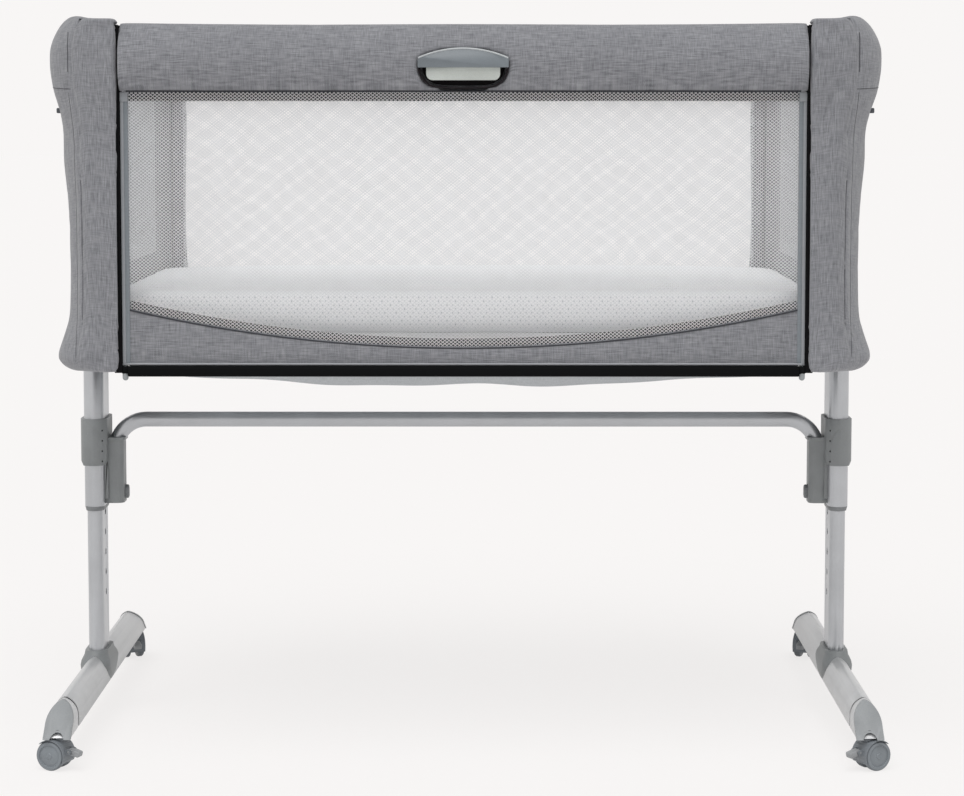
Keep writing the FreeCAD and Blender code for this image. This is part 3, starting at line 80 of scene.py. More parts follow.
def colour(red, green, blue):
    """A screen colour of 0 to 255 as the linear colour that a material holds."""
    parts = [part / 255 for part in (red, green, blue)]
    return [part / 12.92 if part < 0.04045 else ((part + 0.055) / 1.055) ** 2.4 for part in parts] + [1.0]


def wire(tree, node, sockets):
    """Gives a node's sockets, by name or number, a value each or another node's output."""
    for name, value in sockets.items():
        if isinstance(value, bpy.types.NodeSocket):
            tree.links.new(value, node.inputs[name])
        else:
            node.inputs[name].default_value = value


def add(tree, kind, sockets=None, **settings):
    """Adds a shader node with its settings, and with its sockets as wire takes them."""
    made = tree.nodes.new("ShaderNode" + kind)
    for name, value in settings.items():
        setattr(made, name, value)
    wire(tree, made, sockets or {})
    return made


def sum_up(tree, operation, *values):
    return add(tree, "Math", dict(enumerate(values)), operation=operation).outputs[0]


def blended(tree, mask, low, high):
    """Colour that is low where the mask is 0 and high where it is 1."""
    return add(tree, "Mix", {0: mask, 6: low, 7: high}, data_type="RGBA").outputs[2]


def spread(tree, value, low, high, to_low=0.0, to_high=1.0):
    return add(tree, "MapRange", {0: value, 1: low, 2: high, 3: to_low, 4: to_high}).outputs[0]


def noise(tree, place, scale, detail):
    return add(tree, "TexNoise", {"Vector": place, "Scale": scale, "Detail": detail}).outputs[0]


def bump(tree, height, strength, depth):
    return add(tree, "Bump", {"Height": height, "Strength": strength, "Distance": depth}).outputs[0]


def new_group(name, inputs, outputs):
    """An empty node group with float inputs, given with their values, and float outputs."""
    group = bpy.data.node_groups.new(name, "ShaderNodeTree")
    for label, value in inputs.items():
        group.interface.new_socket(label, in_out="INPUT", socket_type="NodeSocketFloat").default_value = value
    for label in outputs:
        group.interface.new_socket(label, in_out="OUTPUT", socket_type="NodeSocketFloat")
    come = group.nodes.new("NodeGroupInput").outputs
    go = group.nodes.new("NodeGroupOutput").inputs
    return group, come, go


def grain_group():
    """Cloudy colour and fine pebbles of a sprayed or moulded surface. Size is one pebble's, in metres."""
    group, come, go = new_group("grain", {"Size": 0.0008}, ["Mask", "Height"])
    place = add(group, "TexCoord").outputs["Object"]
    fine = noise(group, place, sum_up(group, "DIVIDE", 1.0, come["Size"]), 2.0)
    both = add(group, "Mix", {0: 0.5, 2: fine, 3: noise(group, place, 38.0, 3.0)}).outputs[0]
    group.links.new(spread(group, both, 0.35, 0.65), go["Mask"])
    group.links.new(fine, go["Height"])
    return group


def wear_group():
    """Rubbed edges: 1 where the surface turns within Reach metres and the rub is patchy."""
    group, come, go = new_group("edge wear", {"Reach": 0.0012, "Amount": 0.5}, ["Mask"])
    soft = add(group, "Bevel", {"Radius": come["Reach"]}, samples=4).outputs[0]
    flat = add(group, "NewGeometry").outputs["Normal"]
    turn = add(group, "VectorMath", {0: soft, 1: flat}, operation="DOT_PRODUCT").outputs["Value"]
    edge = spread(group, turn, 0.97, 0.80)
    place = add(group, "TexCoord").outputs["Object"]
    rub = sum_up(group, "MULTIPLY", edge, spread(group, noise(group, place, 160.0, 3.0), 0.40, 0.62))
    group.links.new(sum_up(group, "MULTIPLY", rub, come["Amount"]), go["Mask"])
    return group


grain = grain_group()
edge_wear = wear_group()


def new_finish(name):
    """A new material with its tree and its main shader."""
    material = bpy.data.materials.new(name)
    material.use_nodes = True
    return material, material.node_tree, material.node_tree.nodes["Principled BSDF"]


def shaded(rgb, factor):
    """The same colour, lighter or darker by a factor of its screen values."""
    return colour(*(min(255, part * factor) for part in rgb))


def hard_finish(name, rgb, roughness, metallic=0.0, pebble=0.0008, depth=0.00002, wear=0.35, mottle=0.05,
                specular=0.5):
    """Moulded plastic, paint or plain metal: mottled colour, pebble bump and lighter rubbed edges."""
    material, tree, shader = new_finish(name)
    pebbles = add(tree, "Group", {"Size": pebble}, node_tree=grain).outputs
    rubbed = add(tree, "Group", {"Amount": wear}, node_tree=edge_wear).outputs["Mask"]
    base = blended(tree, pebbles["Mask"], shaded(rgb, 1 - mottle), shaded(rgb, 1 + mottle))
    wire(tree, shader, {
        "Base Color": blended(tree, rubbed, base, shaded(rgb, 1.35)),
        "Roughness": spread(tree, pebbles["Mask"], 0.0, 1.0, roughness - 0.06, roughness + 0.06),
        "Normal": bump(tree, pebbles["Height"], 0.6, depth),
        "Metallic": metallic, "Specular IOR Level": specular})
    return material


def dress(node_name, material):
    """Gives a CAD piece that keeps its own mesh its finish."""
    mesh = nodes[node_name].data
    mesh.materials.clear()
    mesh.materials.append(material)


steel_paint = hard_finish("grey powder coat", STEEL_GREY, 0.45, metallic=0.3, pebble=0.0009, depth=0.00004)
for name in ("top_frame", "base_frame"):
    dress(name, steel_paint)

# ---- upper leg tubes, crossbar and bushings ----------------------------------------------------------------
# Each leg has an oval outer tube of silver painted steel, and a round crossbar of the same tube ties the two
# legs together. A grey plastic bushing is pushed into the mouth of the outer tube and guides the lower one.
SILVER = (188, 190, 193)
SILVER_ROUGHNESS = 0.34
BUSHING_GREY = (128, 130, 132)
SMOOTH_ANGLE = math.radians(32)
FLAT_ANGLE = math.radians(0.6)
MERGE_REACH = 0.00001       # points closer than this are one point


def linked_object(name, shape):
    """Makes an object of a bmesh whose place is already in its points."""
    mesh = bpy.data.meshes.new(name)
    shape.to_mesh(mesh)
    shape.free()
    piece = bpy.data.objects.new(name, mesh)
    bpy.context.scene.collection.objects.link(piece)
    return piece


def merged_copy(node_name, name):
    """A copy of a CAD piece with its loose triangles joined and its flat faces made whole."""
    shape = bmesh.new()
    shape.from_mesh(nodes[node_name].data)
    bmesh.ops.remove_doubles(shape, verts=shape.verts, dist=MERGE_REACH)
    bmesh.ops.dissolve_limit(shape, angle_limit=FLAT_ANGLE, verts=shape.verts, edges=shape.edges)
    return linked_object(name, shape)


def settle(piece):
    """Makes what a piece's modifiers show its own mesh."""
    graph = bpy.context.evaluated_depsgraph_get()
    made = bpy.data.meshes.new_from_object(piece.evaluated_get(graph))
    old = piece.data
    piece.modifiers.clear()
    piece.data = made
    bpy.data.meshes.remove(old)


def stand_for(piece, node_name, body, slot, *materials):
    """Dresses a piece and puts it in a CAD piece's place."""
    piece.data.materials.clear()
    for material in materials:
        piece.data.materials.append(material)
    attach(piece, body)
    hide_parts(node_name)


def softened(node_name, material, slot, radius=0.0):
    """Stands for a rigid CAD piece with its edges broken by a small radius and its curves shaded smooth."""
    piece = merged_copy(node_name, node_name + "_finish")
    if radius:
        bevel = piece.modifiers.new("edges", "BEVEL")
        bevel.width = radius
        bevel.segments = 2
        bevel.limit_method = "ANGLE"
        bevel.angle_limit = SMOOTH_ANGLE
        bevel.harden_normals = True
        settle(piece)
    piece.data.shade_smooth()
    piece.data.set_sharp_from_angle(angle=SMOOTH_ANGLE)
    stand_for(piece, node_name, nodes[node_name]["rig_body"], slot, material)


def drawn_tube(name, along):
    """Silver paint on drawn tube: faint lines along the tube, fine flake and small rubs."""
    material, tree, shader = new_finish(name)
    place = add(tree, "TexCoord").outputs["Object"]
    stretch = [12.0 if axis == along else 900.0 for axis in range(3)]
    lines = add(tree, "VectorMath", {0: place, 1: stretch}, operation="MULTIPLY").outputs[0]
    cloud = noise(tree, place, 22.0, 3.0)
    both = add(tree, "Mix", {0: 0.5, 2: noise(tree, place, 2600.0, 1.0), 3: cloud}).outputs[0]
    wire(tree, shader, {
        "Base Color": blended(tree, spread(tree, both, 0.35, 0.65), shaded(SILVER, 0.95),
                              shaded(SILVER, 1.04)),
        "Roughness": spread(tree, cloud, 0.3, 0.7, SILVER_ROUGHNESS - 0.05, SILVER_ROUGHNESS + 0.07),
        "Normal": bump(tree, noise(tree, lines, 1.0, 2.0), 0.25, 0.00002), "Metallic": 0.8})
    return material


upright_silver = drawn_tube("silver tube, upright", along=2)
level_silver = drawn_tube("silver tube, level", along=0)
bushing_plastic = hard_finish("bushing plastic", BUSHING_GREY, 0.5)
for side in ("left", "right"):
    softened("outer_leg_tube_" + side, upright_silver, "silver_tube", radius=0.0003)
softened("crossbar", level_silver, "silver_tube", radius=0.0003)
softened("tube_bushings", bushing_plastic, "grey_plastic", radius=0.0004)

# ---- height brackets with their buttons --------------------------------------------------------------------
# A moulded bracket joins each outer tube to the crossbar. Its collar grips the tube, its socket takes the
# bar's end, and an oval button in the socket works the spring pin that locks the lower tube.
BRACKET_GREY = (134, 137, 138)
BUTTON_GREY = (116, 119, 121)
# painted shadow: the vent holes are black discs laid on the bracket, not cut into it
HOLE_SHADOW_BLACK = (22, 22, 24)
DOT_PITCH = 0.0126
DOTS_DROP = 0.0140          # from the bracket's top to the first hole
DOT_RADIUS = 0.0011
DOT_OUT = 0.0012            # the holes lie this far beside the outer tube

bracket_plastic = hard_finish("bracket plastic", BRACKET_GREY, 0.46, pebble=0.0007, depth=0.00003)
button_plastic = hard_finish("button plastic", BUTTON_GREY, 0.42)
zinc = hard_finish("zinc plated steel", (168, 170, 172), 0.32, metallic=0.9, pebble=0.0005, depth=0.00001)
# black for the discs that stand in for the shade inside the vent holes
hole_shadow_black = hard_finish("painted hole shadow", HOLE_SHADOW_BLACK, 0.6, wear=0.0, specular=0.1)


def new_piece(name, shape, material, body):
    """Makes a smooth piece of a bmesh and lets it ride on a body."""
    piece = linked_object(name, shape)
    piece.data.materials.append(material)
    piece.data.shade_smooth()
    piece.data.set_sharp_from_angle(angle=SMOOTH_ANGLE)
    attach(piece, body)
    return piece


def surface_tree(piece):
    """A search tree of a piece's surface, for laying holes, seams and tabs on it."""
    shape = bmesh.new()
    shape.from_mesh(piece.data)
    tree = BVHTree.FromBMesh(shape)
    shape.free()
    return tree


def bracket_dots(side, sign):
    """Four small vent holes down the seam between the collar and the socket, drawn as thin black discs of
    painted shadow.
    """
    low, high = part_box("outer_leg_tube_" + side)
    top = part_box("height_bracket_" + side)[1].z
    inner = high.x if sign < 0 else low.x
    front = surface_tree(nodes["height_bracket_" + side])
    shape = bmesh.new()
    for step in range(4):
        over = Vector((inner + sign * DOT_OUT, -0.2, top - DOTS_DROP - step * DOT_PITCH))
        place = front.ray_cast(over, Vector((0, 1, 0)))[0]
        turn = Matrix.Translation(place) @ Matrix.Rotation(math.radians(90), 4, "X")
        bmesh.ops.create_cone(shape, cap_ends=True, segments=14, radius1=DOT_RADIUS, radius2=DOT_RADIUS,
                              depth=0.0006, matrix=turn)
    new_piece("bracket_dots_" + side, shape, hole_shadow_black, "root")


for side, sign in (("left", -1), ("right", 1)):
    softened("height_bracket_" + side, bracket_plastic, "grey_plastic", radius=0.0006)
    bracket_dots(side, sign)
    softened("release_button_" + side, button_plastic, "grey_plastic", radius=0.0005)
    dress("lock_pin_" + side, zinc)
dress("lock_springs", zinc)

# ---- lower legs, saddles and feet --------------------------------------------------------------------------
# The lower tubes slide in the outer ones and stand in moulded saddles on the feet. Each foot is a pointed
# arch section painted silver white, with a front length that telescopes out of it and a cap on each end.
FOOT_WHITE = (196, 197, 198)
SADDLE_GREY = (128, 131, 132)
CAP_GREY = (140, 143, 145)
COLLAR_BLACK = (34, 35, 37)

foot_paint = hard_finish("silver white paint", FOOT_WHITE, 0.36, metallic=0.35, pebble=0.0006, depth=0.00001,
                         wear=0.2, mottle=0.03)
saddle_plastic = hard_finish("saddle plastic", SADDLE_GREY, 0.46)
cap_plastic = hard_finish("cap plastic", CAP_GREY, 0.44)
collar_plastic = hard_finish("collar plastic", COLLAR_BLACK, 0.5, wear=0.15, specular=0.15)
for side in ("left", "right"):
    softened("lower_leg_tube_" + side, upright_silver, "silver_tube", radius=0.0003)
    softened("foot_saddle_" + side, saddle_plastic, "grey_plastic", radius=0.0008)
    softened("foot_bar_" + side, foot_paint, "foot_metal", radius=0.0003)
    softened("front_foot_" + side, foot_paint, "foot_metal", radius=0.0003)
    softened("foot_collar_" + side, collar_plastic, "black_plastic", radius=0.0002)
    for end in ("front", "rear"):
        softened(end + "_end_cap_" + side, cap_plastic, "grey_plastic", radius=0.0009)

# ---- casters -----------------------------------------------------------------------------------------------
# Four swivel casters of blue-grey plastic. Each has twin wheels with a domed face, a hood over them whose
# stem turns in the foot, and a brake pedal hinged on the hood.
WHEEL_GREY = (126, 132, 137)
TREAD_GREY = (112, 117, 122)
HOOD_GREY = (116, 121, 126)
PEDAL_GREY = (150, 152, 154)
WHEEL_RADIUS = 0.0170
WHEEL_WIDTH = 0.0085
WHEEL_TRACK = 0.0185
TREAD_DEPTH = 0.0012
AXLE_RADIUS = 0.002
AXLE_SUNK = 0.002           # the axle's ends are this deep in the wheels

wheel_plastic = hard_finish("wheel plastic", WHEEL_GREY, 0.38, pebble=0.0007, wear=0.3)
tread_plastic = hard_finish("wheel tread", TREAD_GREY, 0.55, pebble=0.0005, depth=0.00004, wear=0.5)
hood_plastic = hard_finish("hood plastic", HOOD_GREY, 0.42)
pedal_plastic = hard_finish("pedal plastic", PEDAL_GREY, 0.45)


def caster_wheels(corner):
    """Twin wheels turned from one half section: domed face with a groove, rounded shoulder, flat tread."""
    roll = joints["roll_" + corner]
    half, r = WHEEL_WIDTH / 2, WHEEL_RADIUS
    section = [(0.0, half + 0.0004), (0.0030, half + 0.0003), (0.0036, half - 0.0004), (0.0100, half - 0.0007),
               (0.0116, half - 0.0014), (0.0122, half - 0.0013), (0.0128, half - 0.0001),
               (r - 0.0016, half - 0.0004), (r - 0.0006, half - 0.0012), (r, half - 0.0026),
               (r, -half + 0.0022), (r - 0.0008, -half + 0.0006), (r - 0.0020, -half), (0.0, -half)]
    turn = Vector(roll["axis"]).to_track_quat("Z", "Y").to_matrix().to_4x4()
    shape = bmesh.new()
    for way in (-1, 1):
        verts = [shape.verts.new((radius, 0.0, way * (WHEEL_TRACK / 2 + height)))
                 for radius, height in section]
        edges = [shape.edges.new(pair) for pair in zip(verts, verts[1:])]
        bmesh.ops.spin(shape, geom=verts + edges, cent=(0, 0, 0), axis=(0, 0, 1), angle=math.tau, steps=44,
                       use_merge=True)
    bmesh.ops.create_cone(shape, cap_ends=True, segments=20, radius1=AXLE_RADIUS, radius2=AXLE_RADIUS,
                          depth=WHEEL_TRACK - WHEEL_WIDTH + 2 * AXLE_SUNK)
    bmesh.ops.remove_doubles(shape, verts=shape.verts, dist=MERGE_REACH)
    bmesh.ops.recalc_face_normals(shape, faces=shape.faces)
    for face in shape.faces:
        middle = face.calc_center_median()
        face.material_index = int(math.hypot(middle.x, middle.y) > WHEEL_RADIUS - TREAD_DEPTH)
    shape.transform(Matrix.Translation(roll["pos_m"]) @ turn)
    wheels = new_piece("twin_wheels_" + corner, shape, wheel_plastic, "wheels_" + corner)
    wheels.data.materials.append(tread_plastic)
    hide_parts("caster_wheels_" + corner)


for corner in ("front_left", "front_right", "rear_left", "rear_right"):
    caster_wheels(corner)
    softened("caster_hood_" + corner, hood_plastic, "dark_plastic", radius=0.0004)
    softened("brake_pedal_" + corner, pedal_plastic, "dark_plastic", radius=0.0006)

# ---- base board and mattress -------------------------------------------------------------------------------
# A fibreboard panel, primed white, lies on the base frame under the mattress. The mattress is a firm foam pad
# in a white knitted cover, crowned on top, with a coarser knit border round its sides and a piped seam.
BOARD_WHITE = (206, 207, 208)
MATTRESS_WHITE = (242, 242, 243)
MATTRESS_SHADE = (236, 237, 238)
# colour of the knit's holes: painted shade of their depth
BORDER_HOLE_SHADE = (192, 195, 198)
BORDER_WHITE = (246, 246, 247)
HOLE_PITCH = 0.0064         # along a row, where every other row is offset
HOLE_ROW_PITCH = 0.0088
CLOTH_ROUGHNESS = 0.85
CLOTH_SPECULAR = 0.2
FILL_FRAMES = 20            # length of a filling simulation
MATTRESS_MESH = 0.006       # size of the even mesh's squares
MATTRESS_SWELL = 0.005      # furthest that the filling moves the cover


def board_finish():
    """Primed pressed fibre: pale flecks in every direction and a hairy bump."""
    material, tree, shader = new_finish("primed board")
    place = add(tree, "TexCoord").outputs["Object"]
    fibres = add(tree, "TexNoise", {"Vector": place, "Scale": 260.0, "Detail": 5.0,
                                    "Distortion": 2.0}).outputs[0]
    mask = sum_up(tree, "ADD", sum_up(tree, "MULTIPLY", fibres, 0.7),
                  sum_up(tree, "MULTIPLY", noise(tree, place, 9.0, 2.0), 0.3))
    wire(tree, shader, {
        "Base Color": blended(tree, spread(tree, mask, 0.35, 0.65), shaded(BOARD_WHITE, 0.92),
                              shaded(BOARD_WHITE, 1.05)),
        "Roughness": 0.7, "Normal": bump(tree, fibres, 0.5, 0.0001)})
    return material


def weave_group():
    """Plain weave of uneven yarn on the cloth map, whose unit is a metre. Pitch is one yarn's width.
    Melange is the yarns' colour, Slub the thick places along them, and Height their relief."""
    group, come, go = new_group("weave", {"Pitch": 0.0011, "Warp": 0.5}, ["Melange", "Slub", "Height"])
    place = add(group, "UVMap", uv_map="cloth").outputs[0]
    ends = add(group, "SeparateXYZ", {0: place}).outputs
    across, along = (sum_up(group, "DIVIDE", ends[axis], come["Pitch"]) for axis in (0, 1))
    yarns = []
    for order, (fine, long) in enumerate(((across, along), (along, across))):
        point = add(group, "CombineXYZ", {0: fine, 1: sum_up(group, "MULTIPLY", long, 0.09), 2: 9.0 * order})
        yarns.append(noise(group, point.outputs[0], 0.8, 2.0))
    waves = [sum_up(group, "COSINE", sum_up(group, "MULTIPLY", value, math.pi)) for value in (across, along)]
    over = spread(group, sum_up(group, "MULTIPLY", *waves), -0.4, 0.4)
    toward_warp = sum_up(group, "ADD", sum_up(group, "MULTIPLY", over, 0.4), sum_up(
        group, "MULTIPLY", come["Warp"], 0.6))
    mixed_yarns = add(group, "Mix", {0: toward_warp, 2: yarns[1], 3: yarns[0]}).outputs[0]
    group.links.new(spread(group, mixed_yarns, 0.30, 0.70), go["Melange"])
    slub_point = add(group, "CombineXYZ", {0: sum_up(group, "MULTIPLY", across, 0.8),
                                           1: sum_up(group, "MULTIPLY", along, 0.05)})
    group.links.new(spread(group, noise(group, slub_point.outputs[0], 1.0, 1.0), 0.55, 0.75), go["Slub"])
    reliefs = [sum_up(group, "ABSOLUTE", wave) for wave in waves]
    group.links.new(add(group, "Mix", {0: over, 2: reliefs[1], 3: reliefs[0]}).outputs[0], go["Height"])
    return group


weave = weave_group()


def cloth_finish(name, dark, light, pitch=0.0011, warp=0.5, slub=0.2, depth=0.0003, sheen=0.25):
    """Woven cloth: two yarn colours mixed along the weave, pale slubs, the yarns' relief and a soft nap."""
    material, tree, shader = new_finish(name)
    cloth = add(tree, "Group", {"Pitch": pitch, "Warp": warp}, node_tree=weave).outputs
    melange = blended(tree, cloth["Melange"], colour(*dark), colour(*light))
    slubbed = blended(tree, sum_up(tree, "MULTIPLY", cloth["Slub"], slub), melange, shaded(light, 1.12))
    cloud = noise(tree, add(tree, "TexCoord").outputs["Object"], 14.0, 2.0)
    wire(tree, shader, {
        "Base Color": blended(tree, spread(tree, cloud, 0.3, 0.7, 0.0, 0.16), slubbed, colour(*dark)),
        "Roughness": spread(tree, cloth["Melange"], 0.0, 1.0, CLOTH_ROUGHNESS + 0.06, CLOTH_ROUGHNESS - 0.06),
        "Normal": bump(tree, cloth["Height"], 0.5, depth),
        "Sheen Weight": sheen, "Sheen Roughness": 0.5, "Specular IOR Level": CLOTH_SPECULAR})
    return material


def border_finish():
    """Spacer knit of the mattress's sides: white, with rows of small round holes darkened by painted shade."""
    material, tree, shader = new_finish("mattress border knit")
    place = add(tree, "UVMap", uv_map="cloth").outputs[0]
    ends = add(tree, "SeparateXYZ", {0: place}).outputs
    waves = [sum_up(tree, "COSINE", sum_up(tree, "MULTIPLY", ends[axis], math.tau / pitch))
             for axis, pitch in ((0, HOLE_PITCH), (1, HOLE_ROW_PITCH))]
    hole = spread(tree, sum_up(tree, "MULTIPLY", *waves), 0.55, 0.90)
    # the holes take the darker colour as painted shade
    wire(tree, shader, {
        "Base Color": blended(tree, hole, colour(*BORDER_WHITE), colour(*BORDER_HOLE_SHADE)),
        "Roughness": spread(tree, hole, 0.0, 1.0, 0.75, 0.95),
        "Normal": bump(tree, sum_up(tree, "SUBTRACT", 1.0, hole), 0.5, 0.0006),
        "Specular IOR Level": CLOTH_SPECULAR})
    return material


def points_of(mesh):
    """A mesh's points as rows of x, y and z."""
    flat = np.empty(len(mesh.vertices) * 3)
    mesh.vertices.foreach_get("co", flat)
    return flat.reshape(-1, 3)


def put_points(mesh, points):
    mesh.vertices.foreach_set("co", points.astype(np.float32).ravel())
    mesh.update()


def eased(values, low, high):
    """0 below low, 1 above high and a smooth rise between them."""
    share = np.clip((values - low) / (high - low), 0.0, 1.0)
    return share * share * (3 - 2 * share)


def even_copy(node_name, name, voxel, rounds):
    """A padded piece's starting shape: the CAD solid with an even mesh and its corners eased."""
    piece = merged_copy(node_name, name)
    remesh = piece.modifiers.new("even mesh", "REMESH")
    remesh.mode = "VOXEL"
    remesh.voxel_size = voxel
    settle(piece)
    shape = bmesh.new()
    shape.from_mesh(piece.data)
    for _ in range(rounds):
        bmesh.ops.smooth_vert(shape, verts=shape.verts, factor=0.5, use_axis_x=True, use_axis_y=True,
                              use_axis_z=True)
    shape.to_mesh(piece.data)
    shape.free()
    return piece


def fill(piece, freedom, cap):
    """Swells a padded piece by a cloth simulation. Freedom, from 0 to 1, is each point's share of the cap."""
    rest = points_of(piece.data)
    held = piece.vertex_groups.new(name="held")
    for level in range(11):
        close = np.nonzero(np.abs(freedom - level / 10) <= 0.05)[0]
        held.add(close.tolist(), 1 - level / 10, "REPLACE")
    cloth = piece.modifiers.new("filling", "CLOTH")
    for name, value in (("quality", 4), ("mass", 0.2), ("tension_stiffness", 12.0),
                        ("compression_stiffness", 12.0), ("shear_stiffness", 6.0), ("bending_stiffness", 0.4),
                        ("use_pressure", True), ("uniform_pressure_force", 4.0), ("vertex_group_mass", "held")):
        setattr(cloth.settings, name, value)
    cloth.settings.effector_weights.gravity = 0.0
    cloth.point_cache.frame_end = FILL_FRAMES
    scene = bpy.context.scene
    for step in range(1, FILL_FRAMES + 1):
        scene.frame_set(step)
    graph = bpy.context.evaluated_depsgraph_get()
    moved = points_of(piece.evaluated_get(graph).data) - rest
    scene.frame_set(1)
    length = np.linalg.norm(moved, axis=1)
    moved *= (np.minimum(length, cap) / np.maximum(length, 1e-9) * freedom)[:, None]
    piece.modifiers.clear()
    piece.vertex_groups.clear()
    put_points(piece.data, rest + moved)


def refine(piece):
    """One level of subdivision, applied."""
    finer = piece.modifiers.new("finer", "SUBSURF")
    finer.levels = finer.render_levels = 1
    settle(piece)
    piece.data.shade_smooth()


def corner_points(mesh):
    """The number of the point that each corner of the faces stands on."""
    corners = np.empty(len(mesh.loops), int)
    mesh.loops.foreach_get("vertex_index", corners)
    return corners


def lay_map(mesh, across, along):
    """Writes the cloth map from two values in metres for each corner."""
    layer = mesh.uv_layers.new(name="cloth")
    layer.data.foreach_set("uv", np.column_stack([across, along]).astype(np.float32).ravel())


def lay_flat_map(piece, across, along):
    """Writes the cloth map from two values in metres for each point."""
    corners = corner_points(piece.data)
    lay_map(piece.data, across[corners], along[corners])


def normals_of(mesh):
    flat = np.empty(len(mesh.vertices) * 3)
    mesh.vertices.foreach_get("normal", flat)
    return flat.reshape(-1, 3)


def mattress_pad():
    """The foam pad, fullest in its middle, with the border knit where its faces stand upright."""
    low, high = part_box("mattress")
    pad = even_copy("mattress", "mattress_pad", MATTRESS_MESH, 2)
    points = points_of(pad.data)
    rise = eased(points[:, 2], low.z + 0.010, high.z - 0.010)
    inset = np.minimum(points[:, 0] - low.x, high.x - points[:, 0])
    inset = np.minimum(inset, np.minimum(points[:, 1] - low.y, high.y - points[:, 1]))
    fill(pad, rise * (0.25 + 0.75 * eased(inset, 0.0, 0.08)), MATTRESS_SWELL)
    refine(pad)
    points, normals = points_of(pad.data), normals_of(pad.data)
    side = np.abs(normals[:, 2]) < 0.6
    around = np.where(np.abs(normals[:, 0]) > np.abs(normals[:, 1]), points[:, 1], points[:, 0])
    lay_flat_map(pad, np.where(side, around, points[:, 0]), np.where(side, points[:, 2], points[:, 1]))
    stand_for(pad, "mattress", "root", "mattress_fabric", mattress_cloth, border_cloth)
    flags = [1 if abs(face.normal.z) < 0.62 else 0 for face in pad.data.polygons]
    pad.data.polygons.foreach_set("material_index", flags)


def tube_round(name, path, radius, material, body, sides=8):
    """A round bead along a path of points: a circle at each point, bridged to the next, and closed ends."""
    shape = bmesh.new()
    rings = []
    for index, point in enumerate(path):
        along = path[min(index + 1, len(path) - 1)] - path[max(index - 1, 0)]
        turn = along.to_track_quat("Z", "Y").to_matrix().to_4x4()
        made = bmesh.ops.create_circle(shape, segments=sides, radius=radius,
                                       matrix=Matrix.Translation(point) @ turn)
        rings.append(made["verts"])
    for first, second in zip(rings, rings[1:]):
        loop_a = {edge for vert in first for edge in vert.link_edges if all(v in first for v in edge.verts)}
        loop_b = {edge for vert in second for edge in vert.link_edges if all(v in second for v in edge.verts)}
        bmesh.ops.bridge_loops(shape, edges=list(loop_a | loop_b))
    bmesh.ops.holes_fill(shape, edges=[edge for edge in shape.edges if edge.is_boundary])
    bmesh.ops.recalc_face_normals(shape, faces=shape.faces)
    return new_piece(name, shape, material, body)


primed_board = board_finish()
mattress_cloth = cloth_finish("mattress knit", MATTRESS_SHADE, MATTRESS_WHITE, pitch=0.0016, slub=0.1,
                              sheen=0.1)
border_cloth = border_finish()
dress("base_board", primed_board)
mattress_pad()

# ---- underside cloth and bottom rail -----------------------------------------------------------------------
# A mid-grey lining is slung under the base and sags in shallow folds below its hem. In front of it a black
# webbing covered rail closes the bottom of the open side between the two guides.
LINING_DARK = (166, 170, 173)
LINING_LIGHT = (194, 198, 201)
RAIL_BLACK = (15, 16, 17)
FOOT_GREY = (150, 154, 156)
LINING_BELLY = 0.11         # the lowest line lies this share of the way back
LINING_FOLDS = 3
LINING_THICK = 0.0008
LINING_RIPPLE = 0.0010
SLEEVE_SIZE = (0.0084, 0.0084, 0.0090)
SLEEVE_IN = 0.0034          # from the outer side of the guides' feet to the middle of the sleeves
SLEEVE_DROP = 0.0042        # and from their top

lining = cloth_finish("lining cloth", LINING_DARK, LINING_LIGHT, pitch=0.0007, slub=0.15, depth=0.00015,
                      sheen=0.1)
rail_webbing = hard_finish("black webbing", RAIL_BLACK, 0.7, pebble=0.0009, depth=0.00006, wear=0.1,
                           specular=0.06)


def laid_grid(columns, rows, place):
    """A grid whose points are placed by how far across and how far up they are, both from 0 to 1."""
    shape = bmesh.new()
    bmesh.ops.create_grid(shape, x_segments=columns, y_segments=rows, size=0.5)
    for vert in shape.verts:
        vert.co = place(vert.co.x + 0.5, vert.co.y + 0.5)
    return shape


def thickened(shape, thickness):
    bmesh.ops.solidify(shape, geom=shape.faces, thickness=thickness)
    bmesh.ops.recalc_face_normals(shape, faces=shape.faces)
    return shape


def rounded_box(size, middle, radius, segments=2):
    shape = bmesh.new()
    bmesh.ops.create_cube(shape, size=1.0)
    bmesh.ops.scale(shape, vec=size, verts=shape.verts)
    bmesh.ops.translate(shape, vec=middle, verts=shape.verts)
    bmesh.ops.bevel(shape, geom=shape.edges[:], offset=radius, segments=segments, profile=0.5, affect="EDGES",
                    material=-1)
    return shape


def hanging_lining():
    """The sagging lining: one thin sheet, deepest near the front, with a few folds across it."""
    low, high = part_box("underside_cloth")
    wide, deep, depth = high.x - low.x, high.y - low.y, high.z - low.z - 0.002

    def hung(across, back):
        ends = math.sin(math.pi * across) ** 0.7 if 0 < across < 1 else 0.0
        folds = 0.90 + 0.10 * math.cos(2 * LINING_FOLDS * math.pi * across)
        if back < LINING_BELLY:
            belly = math.sin(math.pi / 2 * back / LINING_BELLY) ** 0.8
        else:
            belly = max(0.0, math.cos(math.pi / 2 * (back - LINING_BELLY) / (1 - LINING_BELLY))) ** 1.2
        drop = depth * ends * folds * belly
        ripple = LINING_RIPPLE * ends * math.sin(38 * across + 4 * back) * belly
        return Vector((low.x + wide * across, low.y + deep * back, high.z - LINING_THICK - drop + ripple))

    shape = thickened(laid_grid(96, 48, hung), LINING_THICK)
    sheet = new_piece("lining_sheet", shape, lining, "root")
    points = points_of(sheet.data)
    lay_flat_map(sheet, points[:, 0], points[:, 1])
    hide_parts("underside_cloth")


